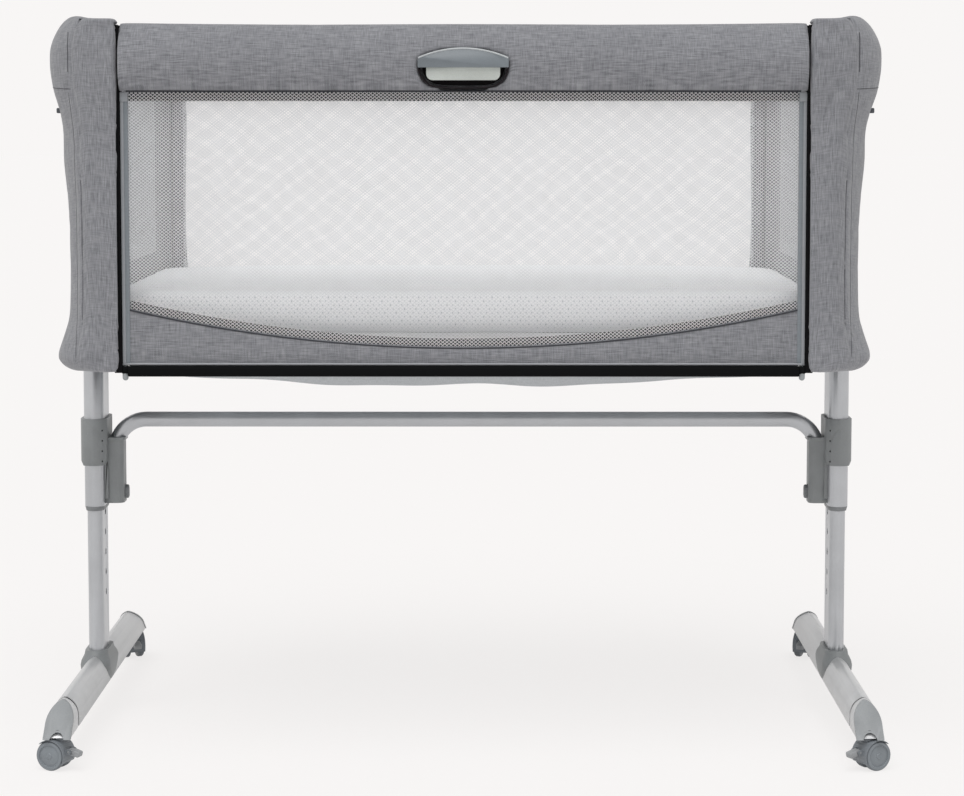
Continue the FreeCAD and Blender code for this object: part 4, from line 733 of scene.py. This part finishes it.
hanging_lining()
softened("bottom_rail", rail_webbing, "black_plastic", radius=0.001)
foot_plug_plastic = hard_finish("track foot plastic", FOOT_GREY, 0.4)
softened("track_feet", foot_plug_plastic, "grey_plastic")
feet_low, feet_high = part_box("track_feet")
for side, sign in (("left", -1), ("right", 1)):
    middle = (sign * (feet_high.x - SLEEVE_IN), (feet_low.y + feet_high.y) / 2, feet_high.z - SLEEVE_DROP)
    shape = rounded_box(SLEEVE_SIZE, middle, 0.0020, segments=3)
    new_piece("plug_sleeve_" + side, shape, rail_webbing, "root")

# ---- padded walls ------------------------------------------------------------------------------------------
# The walls and the top rail are foam in a grey melange cover, one for each end and one for the rear. Each end
# cover wraps the front and rear columns, with a seam down the turn of every column.
HEATHER_DARK = (104, 105, 110)
HEATHER_LIGHT = (158, 159, 163)
SEAM_THREAD = (70, 71, 75)
CORNER_RADIUS = 0.092
SEAM_TURN = math.radians(39)
PANEL_SEAM_DEPTH = 0.0018
TUCK = 0.0045               # the end walls are drawn in under the top rail, and fuller at the waist
TUCK_LEVEL = 0.718
WAIST_FILL = 0.0022
WAIST_LEVEL = 0.590
CROWN = 0.0042              # the padding stands up over the top tube
END_TUBE_X = 0.443
LAP = 0.0065                # how far the columns' padding reaches over the guides
LAP_THICK = 0.0050          # how far it stands in front of them
LEFT_SLACK = 0.0035         # the left end's rail is a little thinner than the right one's
WINDOW_HEM = 0.009          # net caught behind the cover round a window
WINDOW_CORNER = 0.014
WINDOW_LOWERED = 0.020      # the rear window's lower edge is cut down behind the mattress
WALL_MESH = 0.005
WALL_SWELL = 0.004
OUTER_SKIN = (-0.050, -0.034)   # depths between which the inner skin gives way to the outer one
FRONT_FACE = (0.235, 0.245)     # distances from the middle between which the front of a column begins
CREASE_X = 0.4420
CREASE_IN = 0.0045          # the crease lies further in where the wall is drawn in
CREASES = (("upper", 0.782, 0.826, 0.0007), ("lower", 0.456, 0.759, 0.00045))   # levels and radius
END_SEAM_LEVEL = 0.766
END_SEAM_FALL = 0.004
TAB_GREY = (88, 91, 96)
TAB_Y = -0.186
TAB_LEVEL = 0.739
TAB_SIZE = (0.0070, 0.0060, 0.0060)
TAB_PROUD = 0.0018          # from the wall to the middle of the tab

heather = cloth_finish("heather cover", HEATHER_DARK, HEATHER_LIGHT, warp=0.75)
thread = hard_finish("seam thread", SEAM_THREAD, 0.8, wear=0.0)
wall_low, wall_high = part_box("cover_left")
half_long, half_wide = -wall_low.x, wall_high.y
core_x, core_y = half_long - CORNER_RADIUS, half_wide - CORNER_RADIUS
quarter = core_x + CORNER_RADIUS * math.pi / 2 + core_y


def round_the_wall(points):
    """How far each point lies along the wall from the front's middle, and how far inside the outer skin."""
    x, y = np.abs(points[:, 0]), np.abs(points[:, 1])
    beyond_x, beyond_y = x - core_x, y - core_y
    turn = np.arctan2(np.maximum(beyond_x, 0.0), np.maximum(beyond_y, 1e-9))
    along = np.minimum(x, core_x) + CORNER_RADIUS * turn + np.maximum(-beyond_y, 0.0)
    along = np.where(points[:, 1] > 0, 2 * quarter - along, along)
    straight = np.where(beyond_x < 0, -beyond_y, -beyond_x)
    inside = CORNER_RADIUS + np.where((beyond_x < 0) | (beyond_y < 0), straight,
                                      -np.hypot(beyond_x, beyond_y))
    return along, inside


def wrap_map(piece):
    """Lays the cloth map round the wall: along the wall, then up the outside and down the inside."""
    mesh = piece.data
    points, normals = points_of(mesh), normals_of(mesh)
    along, inside = round_the_wall(points)
    outward = points[:, :2] / np.maximum(np.linalg.norm(points[:, :2], axis=1), 1e-6)[:, None]
    on_end = np.abs(points[:, 0]) > core_x
    facing = np.where(on_end & (np.abs(points[:, 1]) < core_y), np.sign(points[:, 0]) * normals[:, 0],
                      np.where(on_end, (outward * normals[:, :2]).sum(axis=1),
                               np.sign(points[:, 1]) * normals[:, 1]))
    height = np.where(facing >= 0, points[:, 2] + inside, 2 * wall_high.z - points[:, 2] + inside)
    totals = np.empty(len(mesh.polygons), int)
    mesh.polygons.foreach_get("loop_total", totals)
    centres = np.empty(len(mesh.polygons) * 3)
    mesh.polygons.foreach_get("center", centres)
    side = np.repeat(np.where(centres.reshape(-1, 3)[:, 0] < 0, -1.0, 1.0), totals)
    corners = corner_points(mesh)
    lay_map(mesh, side * along[corners], height[corners])


def bell(values, middle, width):
    """1 at the middle, falling off to both sides."""
    return np.exp(-((values - middle) / width) ** 2)


def from_seam(along):
    """How far each point is from the seam down the turn of its column."""
    seam = core_x + CORNER_RADIUS * SEAM_TURN
    return np.minimum(np.abs(along - seam), np.abs(2 * quarter - along - seam))


def press_seams(piece, depth):
    """Draws the cover in along the seam down the turn of each column."""
    points, normals = points_of(piece.data), normals_of(piece.data)
    along, inside = round_the_wall(points)
    pull = depth * bell(from_seam(along), 0.0, 0.0028) * eased(-inside, -0.045, -0.030)
    put_points(piece.data, points - normals * (pull * eased(points[:, 2], 0.450, 0.470))[:, None])


def tuck_walls(cover):
    """Draws the end walls in below the top rail, lets them out at the waist and crowns their tops."""
    points = points_of(cover.data)
    skin = eased(-round_the_wall(points)[1], *OUTER_SKIN)
    draw = TUCK * bell(points[:, 2], TUCK_LEVEL, 0.028) - WAIST_FILL * bell(points[:, 2], WAIST_LEVEL, 0.050)
    draw += LEFT_SLACK * (points[:, 0] < 0) * eased(points[:, 2], 0.70, 0.76)
    points[:, 0] -= np.sign(points[:, 0]) * draw * skin * eased(np.abs(points[:, 0]), 0.40, 0.44)
    over_tube = bell(np.abs(points[:, 0]), END_TUBE_X, 0.018)
    points[:, 2] += CROWN * over_tube * eased(points[:, 2], 0.800, 0.832)
    put_points(cover.data, points)


def lap_guides(cover):
    """Carries the columns' padding in front of the guides and over their tops, up to the drop side."""
    guides_low, guides_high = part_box("side_guides")
    points, normals = points_of(cover.data), normals_of(cover.data)
    beside = 1 - eased(np.abs(points[:, 0]), guides_high.x + 0.012, guides_high.x + 0.055)
    forward = eased(-normals[:, 1], 0.1, 0.5) * eased(-points[:, 1], *FRONT_FACE)
    forward *= eased(points[:, 2], guides_low.z - 0.004, guides_low.z + 0.006)
    points[:, 1] -= np.maximum(points[:, 1] - (guides_low.y - LAP_THICK), 0.0) * beside * forward
    front = eased(-points[:, 1], -guides_low.y, 0.0015 - guides_low.y)
    above = eased(points[:, 2], guides_high.z, guides_high.z + 0.0015) * eased(-points[:, 1], *FRONT_FACE)
    near = 1 - eased(np.abs(points[:, 0]), guides_high.x + 0.004, guides_high.x + 0.030)
    points[:, 0] -= np.sign(points[:, 0]) * LAP * np.maximum(front, above) * near
    put_points(cover.data, points)


def square_window(cover):
    """Cuts the rear window down behind the mattress and gives it square corners."""
    low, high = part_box("rear_mesh")
    half, bottom, top = high.x - WINDOW_HEM, low.z + WINDOW_HEM, high.z - WINDOW_HEM
    points = points_of(cover.data)
    for level in (bottom, top):
        inner = level + math.copysign(WINDOW_CORNER, bottom + top - 2 * level)
        across, up = np.abs(points[:, 0]) - (half - WINDOW_CORNER), points[:, 2] - inner
        corner = (across > 0) & (up * (level - inner) > 0)
        reach = np.hypot(across, up)
        square = reach / np.maximum(np.maximum(np.abs(across), np.abs(up)), 1e-6)
        fading = 1 - eased(reach, WINDOW_CORNER + 0.003, 2.2 * WINDOW_CORNER)
        pull = np.where(corner, (square - 1) * fading, 0.0)
        points[:, 0] += np.sign(points[:, 0]) * across * pull
        points[:, 2] += up * pull
    beside = 1 - eased(np.abs(points[:, 0]), half + 0.010, half + 0.045)
    level = np.where(points[:, 2] < bottom, eased(points[:, 2], bottom - 0.060, bottom),
                     1 - eased(points[:, 2], bottom, bottom + 0.080))
    points[:, 2] -= WINDOW_LOWERED * beside * level
    put_points(cover.data, points)


def padded_cover(node_name, name):
    """One wall's foam and cover: filled by simulation, seamed, and drawn to its shape."""
    cover = even_copy(node_name, name, WALL_MESH, 3)
    points = points_of(cover.data)
    along, inside = round_the_wall(points)
    free = eased(-inside, *OUTER_SKIN) * eased(points[:, 2], 0.455, 0.50)
    free *= eased(from_seam(along), 0.002, 0.035)
    if node_name != "cover_rear":
        low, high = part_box(node_name)
        gap = -high.x if node_name == "cover_left" else low.x
        free *= eased(np.abs(points[:, 0]), abs(gap) + 0.002, abs(gap) + 0.040)
    fill(cover, free, WALL_SWELL)
    refine(cover)
    press_seams(cover, PANEL_SEAM_DEPTH)
    if node_name == "cover_rear":
        square_window(cover)
    else:
        tuck_walls(cover)
        lap_guides(cover)
    wrap_map(cover)
    stand_for(cover, node_name, "root", "grey_heather_fabric", heather)
    return cover


covers = {side: padded_cover("cover_" + side, side + "_wall") for side in ("left", "right", "rear")}


def laid_seam(name, carrier, outside, inward, radius):
    """A thin bead of thread laid on a cover: each outside point is dropped on it along its inward way."""
    tree = surface_tree(carrier)
    path = []
    for point, way in zip(outside, inward):
        spot, normal = tree.ray_cast(point, way)[:2]
        if spot:
            path.append(spot - normal * radius * 0.3)
    tube_round(name, path, radius, thread, "root", sides=6)


def column_crease(side, sign, way, label, z0, z1, radius):
    """A dark crease up the front or rear of a column, where the panel round the column ends."""
    levels = np.linspace(z0, z1, 40)
    turned_in = CREASE_IN * (1 - eased(levels, 0.70, 0.76))
    outside = [Vector((sign * (CREASE_X - shift), way * 0.5, level)) for level, shift in zip(levels, turned_in)]
    laid_seam(f"{label}_crease_{side}", covers[side], outside, [Vector((0, -way, 0))] * len(outside), radius)


def end_seam(side, sign):
    """The seam round an end, between the padded top and the wall below it."""
    outside, inward = [], []
    for turn in np.linspace(SEAM_TURN, math.pi / 2, 16):
        out = Vector((sign * math.sin(turn), -math.cos(turn), 0.0))
        corner = Vector((sign * core_x, -core_y, END_SEAM_LEVEL - END_SEAM_FALL * math.cos(turn)))
        outside.append(corner + out * 0.2)
        inward.append(-out)
    for y in np.linspace(-core_y + 0.01, 0.0, 20):
        outside.append(Vector((sign * (core_x + 0.2), y, END_SEAM_LEVEL)))
        inward.append(Vector((-sign, 0, 0)))
    outside += [Vector((point.x, -point.y, point.z)) for point in reversed(outside[:-1])]
    inward += [Vector((way.x, -way.y, 0)) for way in reversed(inward[:-1])]
    laid_seam("end_seam_" + side, covers[side], outside, inward, 0.0005)


def pull_tab(side, sign):
    """A short dark tab of webbing sewn into the end wall, just under the padded top."""
    outside = Vector((sign * 0.7, TAB_Y, TAB_LEVEL))
    spot = surface_tree(covers[side]).ray_cast(outside, Vector((-sign, 0, 0)))[0]
    shape = rounded_box(TAB_SIZE, spot + Vector((sign * TAB_PROUD, 0, 0)), 0.0012)
    new_piece("pull_tab_" + side, shape, tab_webbing, "root")


tab_webbing = hard_finish("tab webbing", TAB_GREY, 0.8, wear=0.0)
for side, sign in (("left", -1), ("right", 1)):
    for end, way in (("front", -1), ("rear", 1)):
        for part, z0, z1, radius in CREASES:
            column_crease(side, sign, way, f"{end}_{part}", z0, z1, radius)
    end_seam(side, sign)
    pull_tab(side, sign)

# ---- drop side: padded rail, tubes and guides --------------------------------------------------------------
# The front rail is a steel tube in foam under the same melange cover. Plastic sliders on its ends run in
# black channels beside the columns, and a spring bolt at each end holds it up.
GUIDE_BLACK = (12, 12, 14)
SLIDER_BLACK = (24, 25, 27)
RAIL_MESH = 0.004
RAIL_SWELL = 0.003
RAIL_END = 0.014            # the rail's ends are squared over this length
RAIL_END_STRETCH = 1.32

guide_plastic = hard_finish("guide channel", GUIDE_BLACK, 0.55, wear=0.1, specular=0.08)
slider_plastic = hard_finish("slider plastic", SLIDER_BLACK, 0.5, wear=0.1, specular=0.15)
dress("side_guides", guide_plastic)
dress("rail_sliders", slider_plastic)
dress("drop_rail_tube", steel_paint)
for side in ("left", "right"):
    dress("latch_bolt_" + side, zinc)


def drop_rail():
    """The rail's foam and cover, filled by simulation, with its ends squared against the columns."""
    rail = even_copy("drop_rail_cover", "drop_rail_pad", RAIL_MESH, 2)
    low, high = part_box("drop_rail_cover")
    hole_low, hole_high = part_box("handle_pocket")
    points = points_of(rail.data)
    ends = eased(np.minimum(points[:, 0] - low.x, high.x - points[:, 0]), 0.002, 0.035)
    from_hole = np.maximum(np.abs(points[:, 0]) - hole_high.x,
                           np.maximum(hole_low.z - points[:, 2], points[:, 2] - hole_high.z))
    hole = np.where(points[:, 1] < -0.24, eased(from_hole, 0.002, 0.030), 1.0)
    fill(rail, ends * hole * eased(points[:, 2], low.z, low.z + 0.02), RAIL_SWELL)
    refine(rail)
    points = points_of(rail.data)
    over = np.abs(points[:, 0]) - (high.x - RAIL_END)
    squared = np.minimum(over * RAIL_END_STRETCH, RAIL_END)
    points[:, 0] += np.where(over > 0, np.sign(points[:, 0]) * (squared - over), 0.0)
    put_points(rail.data, points)
    wrap_map(rail)
    stand_for(rail, "drop_rail_cover", "drop_side", "grey_heather_fabric", rail_heather)


rail_heather = cloth_finish("heather rail cover", HEATHER_DARK, HEATHER_LIGHT, warp=0.35)
drop_rail()

# ---- squeeze handle ----------------------------------------------------------------------------------------
# The handle let into the front rail: a black tray for the fingers, a blue-grey hood with a rolled lip over its
# upper half, the lip coloured pale as a painted highlight along its crown, and a pale squeeze paddle that hangs
# below the hood and draws the bolts.
POCKET_BROWN = (34, 29, 32)
HOOD_BLUE_GREY = (112, 119, 124)
PADDLE_PALE = (186, 191, 186)
# painted highlight: the lip's pale colour stands for light along the arch's crown
LIP_HIGHLIGHT = (176, 180, 182)
LIP_RISE = 0.0105           # from the arch's ends to its crown
LIP_RADIUS = 0.0011
LIP_IN = 0.0006             # the lip is let into the hood's edges

tray_plastic = hard_finish("tray plastic", POCKET_BROWN, 0.5, wear=0.1, specular=0.1)
softened("handle_pocket", tray_plastic, "black_plastic", radius=0.0004)
hood_blue_plastic = hard_finish("handle hood plastic", HOOD_BLUE_GREY, 0.36)
softened("handle_bezel", hood_blue_plastic, "grey_plastic", radius=0.0006)
# the lip bead carries a painted highlight along the hood's arch
lip_highlight_plastic = hard_finish("handle lip painted highlight", LIP_HIGHLIGHT, 0.36)
bezel_low, bezel_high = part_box("handle_bezel")
arch_half = bezel_high.x - LIP_IN
arch_radius = (arch_half ** 2 + LIP_RISE ** 2) / (2 * LIP_RISE)
lip_path = [Vector((x, bezel_low.y + LIP_IN, bezel_high.z - arch_radius + math.sqrt(arch_radius ** 2 - x ** 2)))
            for x in np.linspace(-arch_half, arch_half, 48)]
tube_round("handle_lip", lip_path, LIP_RADIUS, lip_highlight_plastic, "drop_side", sides=8)
paddle_plastic = hard_finish("paddle plastic", PADDLE_PALE, 0.4, wear=0.15)
softened("release_paddle", paddle_plastic, "pale_plastic", radius=0.0006)

# ---- mesh windows ------------------------------------------------------------------------------------------
# Knitted polyester net in the front, the rear and both ends, with diamond eyes four to five millimetres wide.
# The front net is sewn to the rail and to the cloth band, and crumples as the side goes down.
NET_GREY = (226, 227, 229)
EYE_WIDTH = 0.0046
EYE_HEIGHT = 0.0037
NET_COVER = 0.25            # share of an eye's width that one thread takes
NET_UNEVEN = 0.0032         # how unevenly the net is stretched
NET_IN = 0.0006             # from the solids' outer face to the end nets


def net_group():
    """Diamond net on the cloth map: Mask is 1 on the threads and Height their round relief."""
    group, come, go = new_group("net", {"Thread": NET_COVER}, ["Mask", "Height"])
    flat = add(group, "UVMap", uv_map="cloth").outputs[0]
    pulls = add(group, "TexNoise", {"Vector": flat, "Scale": 14.0, "Detail": 1.0}).outputs["Color"]
    uneven = add(group, "VectorMath", {0: pulls, 1: (-0.5, -0.5, -0.5)}, operation="ADD").outputs[0]
    moved = add(group, "VectorMath", {0: uneven, "Scale": NET_UNEVEN}, operation="SCALE").outputs[0]
    place = add(group, "VectorMath", {0: flat, 1: moved}, operation="ADD").outputs[0]
    ends = add(group, "SeparateXYZ", {0: place}).outputs
    across, up = (sum_up(group, "DIVIDE", ends[axis], size) for axis, size in ((0, EYE_WIDTH), (1, EYE_HEIGHT)))
    threads = []
    for operation in ("ADD", "SUBTRACT"):
        slant = sum_up(group, operation, across, up)
        offset = sum_up(group, "ABSOLUTE", sum_up(group, "SUBTRACT", sum_up(group, "FRACT", slant), 0.5))
        threads.append(sum_up(group, "SUBTRACT", 1.0, sum_up(
            group, "DIVIDE", offset, sum_up(group, "MULTIPLY", come["Thread"], 0.5))))
    relief = sum_up(group, "MAXIMUM", *threads)
    group.links.new(sum_up(group, "GREATER_THAN", relief, 0.0), go["Mask"])
    group.links.new(sum_up(group, "MAXIMUM", relief, 0.0), go["Height"])
    return group


net = net_group()


def net_finish(name):
    material, tree, shader = new_finish(name)
    eyes = add(tree, "Group", {"Thread": NET_COVER}, node_tree=net).outputs
    cloud = noise(tree, add(tree, "TexCoord").outputs["Object"], 60.0, 2.0)
    wire(tree, shader, {
        "Base Color": blended(tree, cloud, shaded(NET_GREY, 0.96), shaded(NET_GREY, 1.03)),
        "Alpha": eyes["Mask"], "Roughness": spread(tree, cloud, 0.0, 1.0, 0.6, 0.75),
        "Normal": bump(tree, eyes["Height"], 0.4, 0.0002)})
    return material


def net_sheet(corner, across, up, columns, rows, bow):
    """A taut net from a corner along two edges, bowed by a few millimetres."""
    out = across.cross(up).normalized()
    return laid_grid(columns, rows, lambda s, t: corner + across * s + up * t
                     + out * (bow * math.sin(math.pi * s) * math.sin(math.pi * t)))


def map_upright(piece):
    """Lays the cloth map straight through a piece from the front."""
    points = points_of(piece.data)
    lay_flat_map(piece, points[:, 0], points[:, 2])


front_net_cloth = net_finish("front net")
wall_net_cloth = net_finish("wall net")


def wall_nets():
    low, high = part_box("rear_mesh")
    corner = Vector((low.x, (low.y + high.y) / 2, low.z - WINDOW_LOWERED))
    wide, tall = high.x - low.x, high.z - low.z + WINDOW_LOWERED
    shape = net_sheet(corner, Vector((wide, 0, 0)), Vector((0, 0, tall)), 60, 20, -0.003)
    rear = new_piece("rear_net", shape, wall_net_cloth, "root")
    map_upright(rear)
    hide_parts("rear_mesh")
    low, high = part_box("end_meshes")
    tall, deep = high.z - low.z, high.y - low.y
    for side, x in (("left", low.x + NET_IN), ("right", high.x - NET_IN)):
        shape = net_sheet(Vector((x, low.y, low.z)), Vector((0, deep, 0)), Vector((0, 0, tall)), 28, 20, 0.0)
        end = new_piece("end_net_" + side, shape, wall_net_cloth, "root")
        points = points_of(end.data)
        lay_flat_map(end, points[:, 1], points[:, 2])
        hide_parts("end_meshes")


wall_nets()

# ---- front net and its cloth band --------------------------------------------------------------------------
# The front net reaches from the rail down to a band of melange cloth with a curved top edge. Tape binds both
# ends, a seam joins net and band, dark partly with painted shade along the band's edge, and a pale piping
# closes the band's lower edge.
TAPE_BLUE = (136, 142, 147)
TAPE_GREY = (158, 161, 165)
PIPING_GREY = (172, 174, 178)
# the seams' dark colour is partly thread, partly painted shade along the band's edge and under the rail
SEAM_AND_SHADE_DARK = (52, 54, 59)
HEM_HEIGHT = 0.0105
TAPE_SHADE = (122, 128, 133)
FOLD_SHADE = (144, 147, 151)
PIPING_SHADE = (156, 158, 162)
HEM_GREYS = ((66, 69, 74), (92, 95, 100))
BINDING_WIDTH = 0.0085
SEAM_RADIUS = 0.0009
PIPING_RADIUS = 0.0013
STRIP_ROWS = 40             # rows that a tape is cut in
RAIL_SEAM_HALF = 0.376
RAIL_SEAM_IN = 0.0125       # from the rail's front to the seam under it
net_low, net_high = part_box("front_mesh")
band_low, band_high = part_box("front_band")
net_y = (net_low.y + net_high.y) / 2
edge_rise = band_high.z - net_low.z
edge_radius = (net_high.x ** 2 + edge_rise ** 2) / (2 * edge_rise)


def window_edge(x):
    """Height of the net's curved lower edge, an arc that dips in the middle."""
    return net_low.z + edge_radius - math.sqrt(edge_radius ** 2 - x ** 2)


def gathers(piece):
    """The piece is sewn to the rail above and to the base below. Gives it its own copy of its mesh."""
    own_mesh(piece)


def front_net():
    """The taut net between the band's curved edge and the rail, with a slight bow to the front."""
    def stretched(s, t):
        x = net_low.x + (net_high.x - net_low.x) * s
        bottom = window_edge(x)
        bow = 0.002 * math.sin(math.pi * s) * math.sin(math.pi * t)
        return Vector((x, net_y - bow, bottom + (net_high.z - bottom) * t))

    sheet = new_piece("front_net", laid_grid(80, 24, stretched), front_net_cloth, "drop_side")
    map_upright(sheet)
    gathers(sheet)
    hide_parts("front_mesh")


def front_band():
    """Two layers of cloth over thin foam, sewn along the top and rolled at the piping."""
    def padded(s, t):
        x = band_low.x + (band_high.x - band_low.x) * s
        ends = math.sin(math.pi * min(1.0, 12 * min(s, 1 - s) + 0.02) / 2)
        puff = 0.0016 * math.sin(math.pi * t) ** 0.6 * ends
        return Vector((x, band_low.y + 0.0018 - puff, band_low.z + (window_edge(x) - band_low.z) * t))

    shape = thickened(laid_grid(96, 14, padded), -(band_high.y - band_low.y - 0.0022))
    band = new_piece("cloth_band", shape, band_cloth, "drop_side")
    map_upright(band)
    gathers(band)
    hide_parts("front_band")


def strip(name, x0, x1, y0, y1, z0, z1, material):
    """A flat tape with rounded edges, cut in rows."""
    shape = rounded_box((x1 - x0, y1 - y0, z1 - z0), ((x0 + x1) / 2, (y0 + y1) / 2, (z0 + z1) / 2), 0.0006)
    for cut in range(1, STRIP_ROWS):
        level = z0 + (z1 - z0) * cut / STRIP_ROWS
        bmesh.ops.bisect_plane(shape, geom=shape.verts[:] + shape.edges[:] + shape.faces[:],
                               plane_co=(0, 0, level), plane_no=(0, 0, 1))
    piece = new_piece(name, shape, material, "drop_side")
    points = points_of(piece.data)
    lay_flat_map(piece, points[:, 0] + points[:, 1], points[:, 2])
    return piece


band_cloth = cloth_finish("heather band", HEATHER_DARK, HEATHER_LIGHT, warp=0.4)
tape_blue, tape_grey, piping_cloth, hem_cloth = (
    cloth_finish(name, dark, light, pitch=pitch, slub=slub, depth=0.0001)
    for name, dark, light, pitch, slub in (("binding tape", TAPE_SHADE, TAPE_BLUE, 0.0006, 0.05),
                                           ("binding fold", FOLD_SHADE, TAPE_GREY, 0.0006, 0.05),
                                           ("piping cloth", PIPING_SHADE, PIPING_GREY, 0.0005, 0.0),
                                           ("net hem tape", *HEM_GREYS, 0.0006, 0.05)))
seam_and_shade_cloth = hard_finish("net seam and painted shade", SEAM_AND_SHADE_DARK, 0.8, wear=0.0)
front_net()
front_band()
for side, sign in (("left", -1), ("right", 1)):
    outer = sign * net_high.x
    middle = outer - sign * 0.45 * BINDING_WIDTH
    inner = outer - sign * BINDING_WIDTH
    for label, near, far, cloth, proud in (("fold", outer, middle, tape_grey, 0.0042),
                                           ("tape", middle, inner, tape_blue, 0.0036)):
        piece = strip(f"binding_{label}_{side}", min(near, far), max(near, far), net_y - proud, net_y + 0.001,
                      band_low.z, net_high.z - 0.001, cloth)
        gathers(piece)
    strip("binding_end_" + side, min(outer, inner), max(outer, inner), net_y - 0.0052, net_y - 0.0030,
          net_high.z - 0.011, net_high.z - 0.0005, tape_grey)


def net_hem(name, bottom_of, top_of):
    """Grey tape sewn behind the net along an edge, cut in columns that follow it."""
    def sewn(s, t):
        x = net_low.x + BINDING_WIDTH + (net_high.x - net_low.x - 2 * BINDING_WIDTH) * s
        low, high = bottom_of(x), top_of(x)
        return Vector((x, net_y + 0.0012, low + (high - low) * t))

    shape = thickened(laid_grid(80, 4, sewn), -0.0006)
    hem = new_piece(name, shape, hem_cloth, "drop_side")
    map_upright(hem)
    gathers(hem)


net_hem("net_hem_top", lambda x: net_high.z - HEM_HEIGHT, lambda x: net_high.z)
net_hem("net_hem_curved", window_edge, lambda x: window_edge(x) + HEM_HEIGHT)
rail_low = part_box("drop_rail_cover")[0]
# the rail's edge seam: dark partly with painted shade under the rail
edge_path = [Vector((x, rail_low.y + RAIL_SEAM_IN, rail_low.z + 0.0002))
             for x in np.linspace(-RAIL_SEAM_HALF, RAIL_SEAM_HALF, 60)]
tube_round("rail_edge_seam", edge_path, SEAM_RADIUS, seam_and_shade_cloth, "drop_side", sides=6)
# the net seam: dark partly with painted shade along the band's top edge
seam_path = [Vector((x, band_low.y + 0.0012, window_edge(x) + 0.0004))
             for x in np.linspace(net_low.x + BINDING_WIDTH, net_high.x - BINDING_WIDTH, 80)]
net_seam = tube_round("net_seam", seam_path, SEAM_RADIUS, seam_and_shade_cloth, "drop_side",
                      sides=6)
gathers(net_seam)
piping_path = [Vector((x, band_low.y + 0.0010, band_low.z + 0.0014))
               for x in np.linspace(band_low.x, band_high.x, 60)]
piping = tube_round("band_piping", piping_path, PIPING_RADIUS, piping_cloth, "drop_side")
map_upright(piping)
gathers(piping)

# ---- room, light and camera --------------------------------------------------------------------------------
# A pale seamless floor under a plain overcast light, with one broad lamp from above and in front.
BACKGROUND = (248, 246, 245)
LENS = 95.14
CAMERA_PLACE = (0.0354, -3.1178, 0.7352)
CAMERA_DIP = 0.0811
CAMERA_TURN = 0.002
CAMERA_SHIFT = (-0.0083, -0.0799)
SKY_LEVEL = 0.50
KEY_LEVEL = 1.85
KEY_TILT = (math.radians(23.5), math.radians(-6), 0.0)
FLOOR_LIT = 0.84            # how much of the floor's look is its own light, so that shadows stay faint
FLOOR_GLOW = 0.995
FLOOR_SIZE = 40.0
KEY_SPREAD = math.radians(50)


def backdrop_world():
    world = bpy.data.worlds.new("studio")
    world.use_nodes = True
    tree = world.node_tree
    tree.nodes.clear()
    path = add(tree, "LightPath").outputs
    seen = sum_up(tree, "MAXIMUM", path["Is Camera Ray"], sum_up(
        tree, "MAXIMUM", path["Is Glossy Ray"], path["Is Transmission Ray"]))
    sky = add(tree, "Background", {"Color": (1.0, 1.0, 1.0, 1.0), "Strength": SKY_LEVEL}).outputs[0]
    shown = add(tree, "Background", {"Color": colour(*BACKGROUND), "Strength": 1.0}).outputs[0]
    both = add(tree, "MixShader", {0: seen, 1: sky, 2: shown}).outputs[0]
    out = add(tree, "OutputWorld")
    tree.links.new(both, out.inputs["Surface"])
    bpy.context.scene.world = world


def floor():
    shape = bmesh.new()
    bmesh.ops.create_grid(shape, x_segments=1, y_segments=1, size=FLOOR_SIZE)
    piece = linked_object("floor", shape)
    material, tree, shader = new_finish("floor paper")
    wire(tree, shader, {"Base Color": colour(*BACKGROUND), "Roughness": 1.0, "Specular IOR Level": 0.0})
    path = add(tree, "LightPath").outputs
    seen = sum_up(tree, "MAXIMUM", path["Is Camera Ray"], path["Is Glossy Ray"])
    glow = add(tree, "Emission", {"Color": colour(*BACKGROUND), "Strength": FLOOR_GLOW}).outputs[0]
    both = add(tree, "MixShader", {0: sum_up(tree, "MULTIPLY", seen, FLOOR_LIT), 1: shader.outputs[0], 2: glow})
    tree.links.new(both.outputs[0], tree.nodes["Material Output"].inputs["Surface"])
    piece.data.materials.append(material)


def lamp():
    light = bpy.data.lights.new("key", "SUN")
    light.energy = KEY_LEVEL
    light.angle = KEY_SPREAD
    piece = bpy.data.objects.new("key", light)
    piece.rotation_euler = KEY_TILT
    bpy.context.scene.collection.objects.link(piece)


def camera():
    data = bpy.data.cameras.new("camera")
    data.lens = LENS
    data.sensor_width = 36.0
    data.shift_x, data.shift_y = CAMERA_SHIFT
    data.clip_end = 200.0
    piece = bpy.data.objects.new("camera", data)
    piece.location = CAMERA_PLACE
    piece.rotation_euler = (math.pi / 2 - CAMERA_DIP, 0.0, CAMERA_TURN)
    bpy.context.scene.collection.objects.link(piece)
    bpy.context.scene.camera = piece


backdrop_world()
floor()
lamp()
camera()
bpy.context.scene.view_settings.view_transform = "Standard"
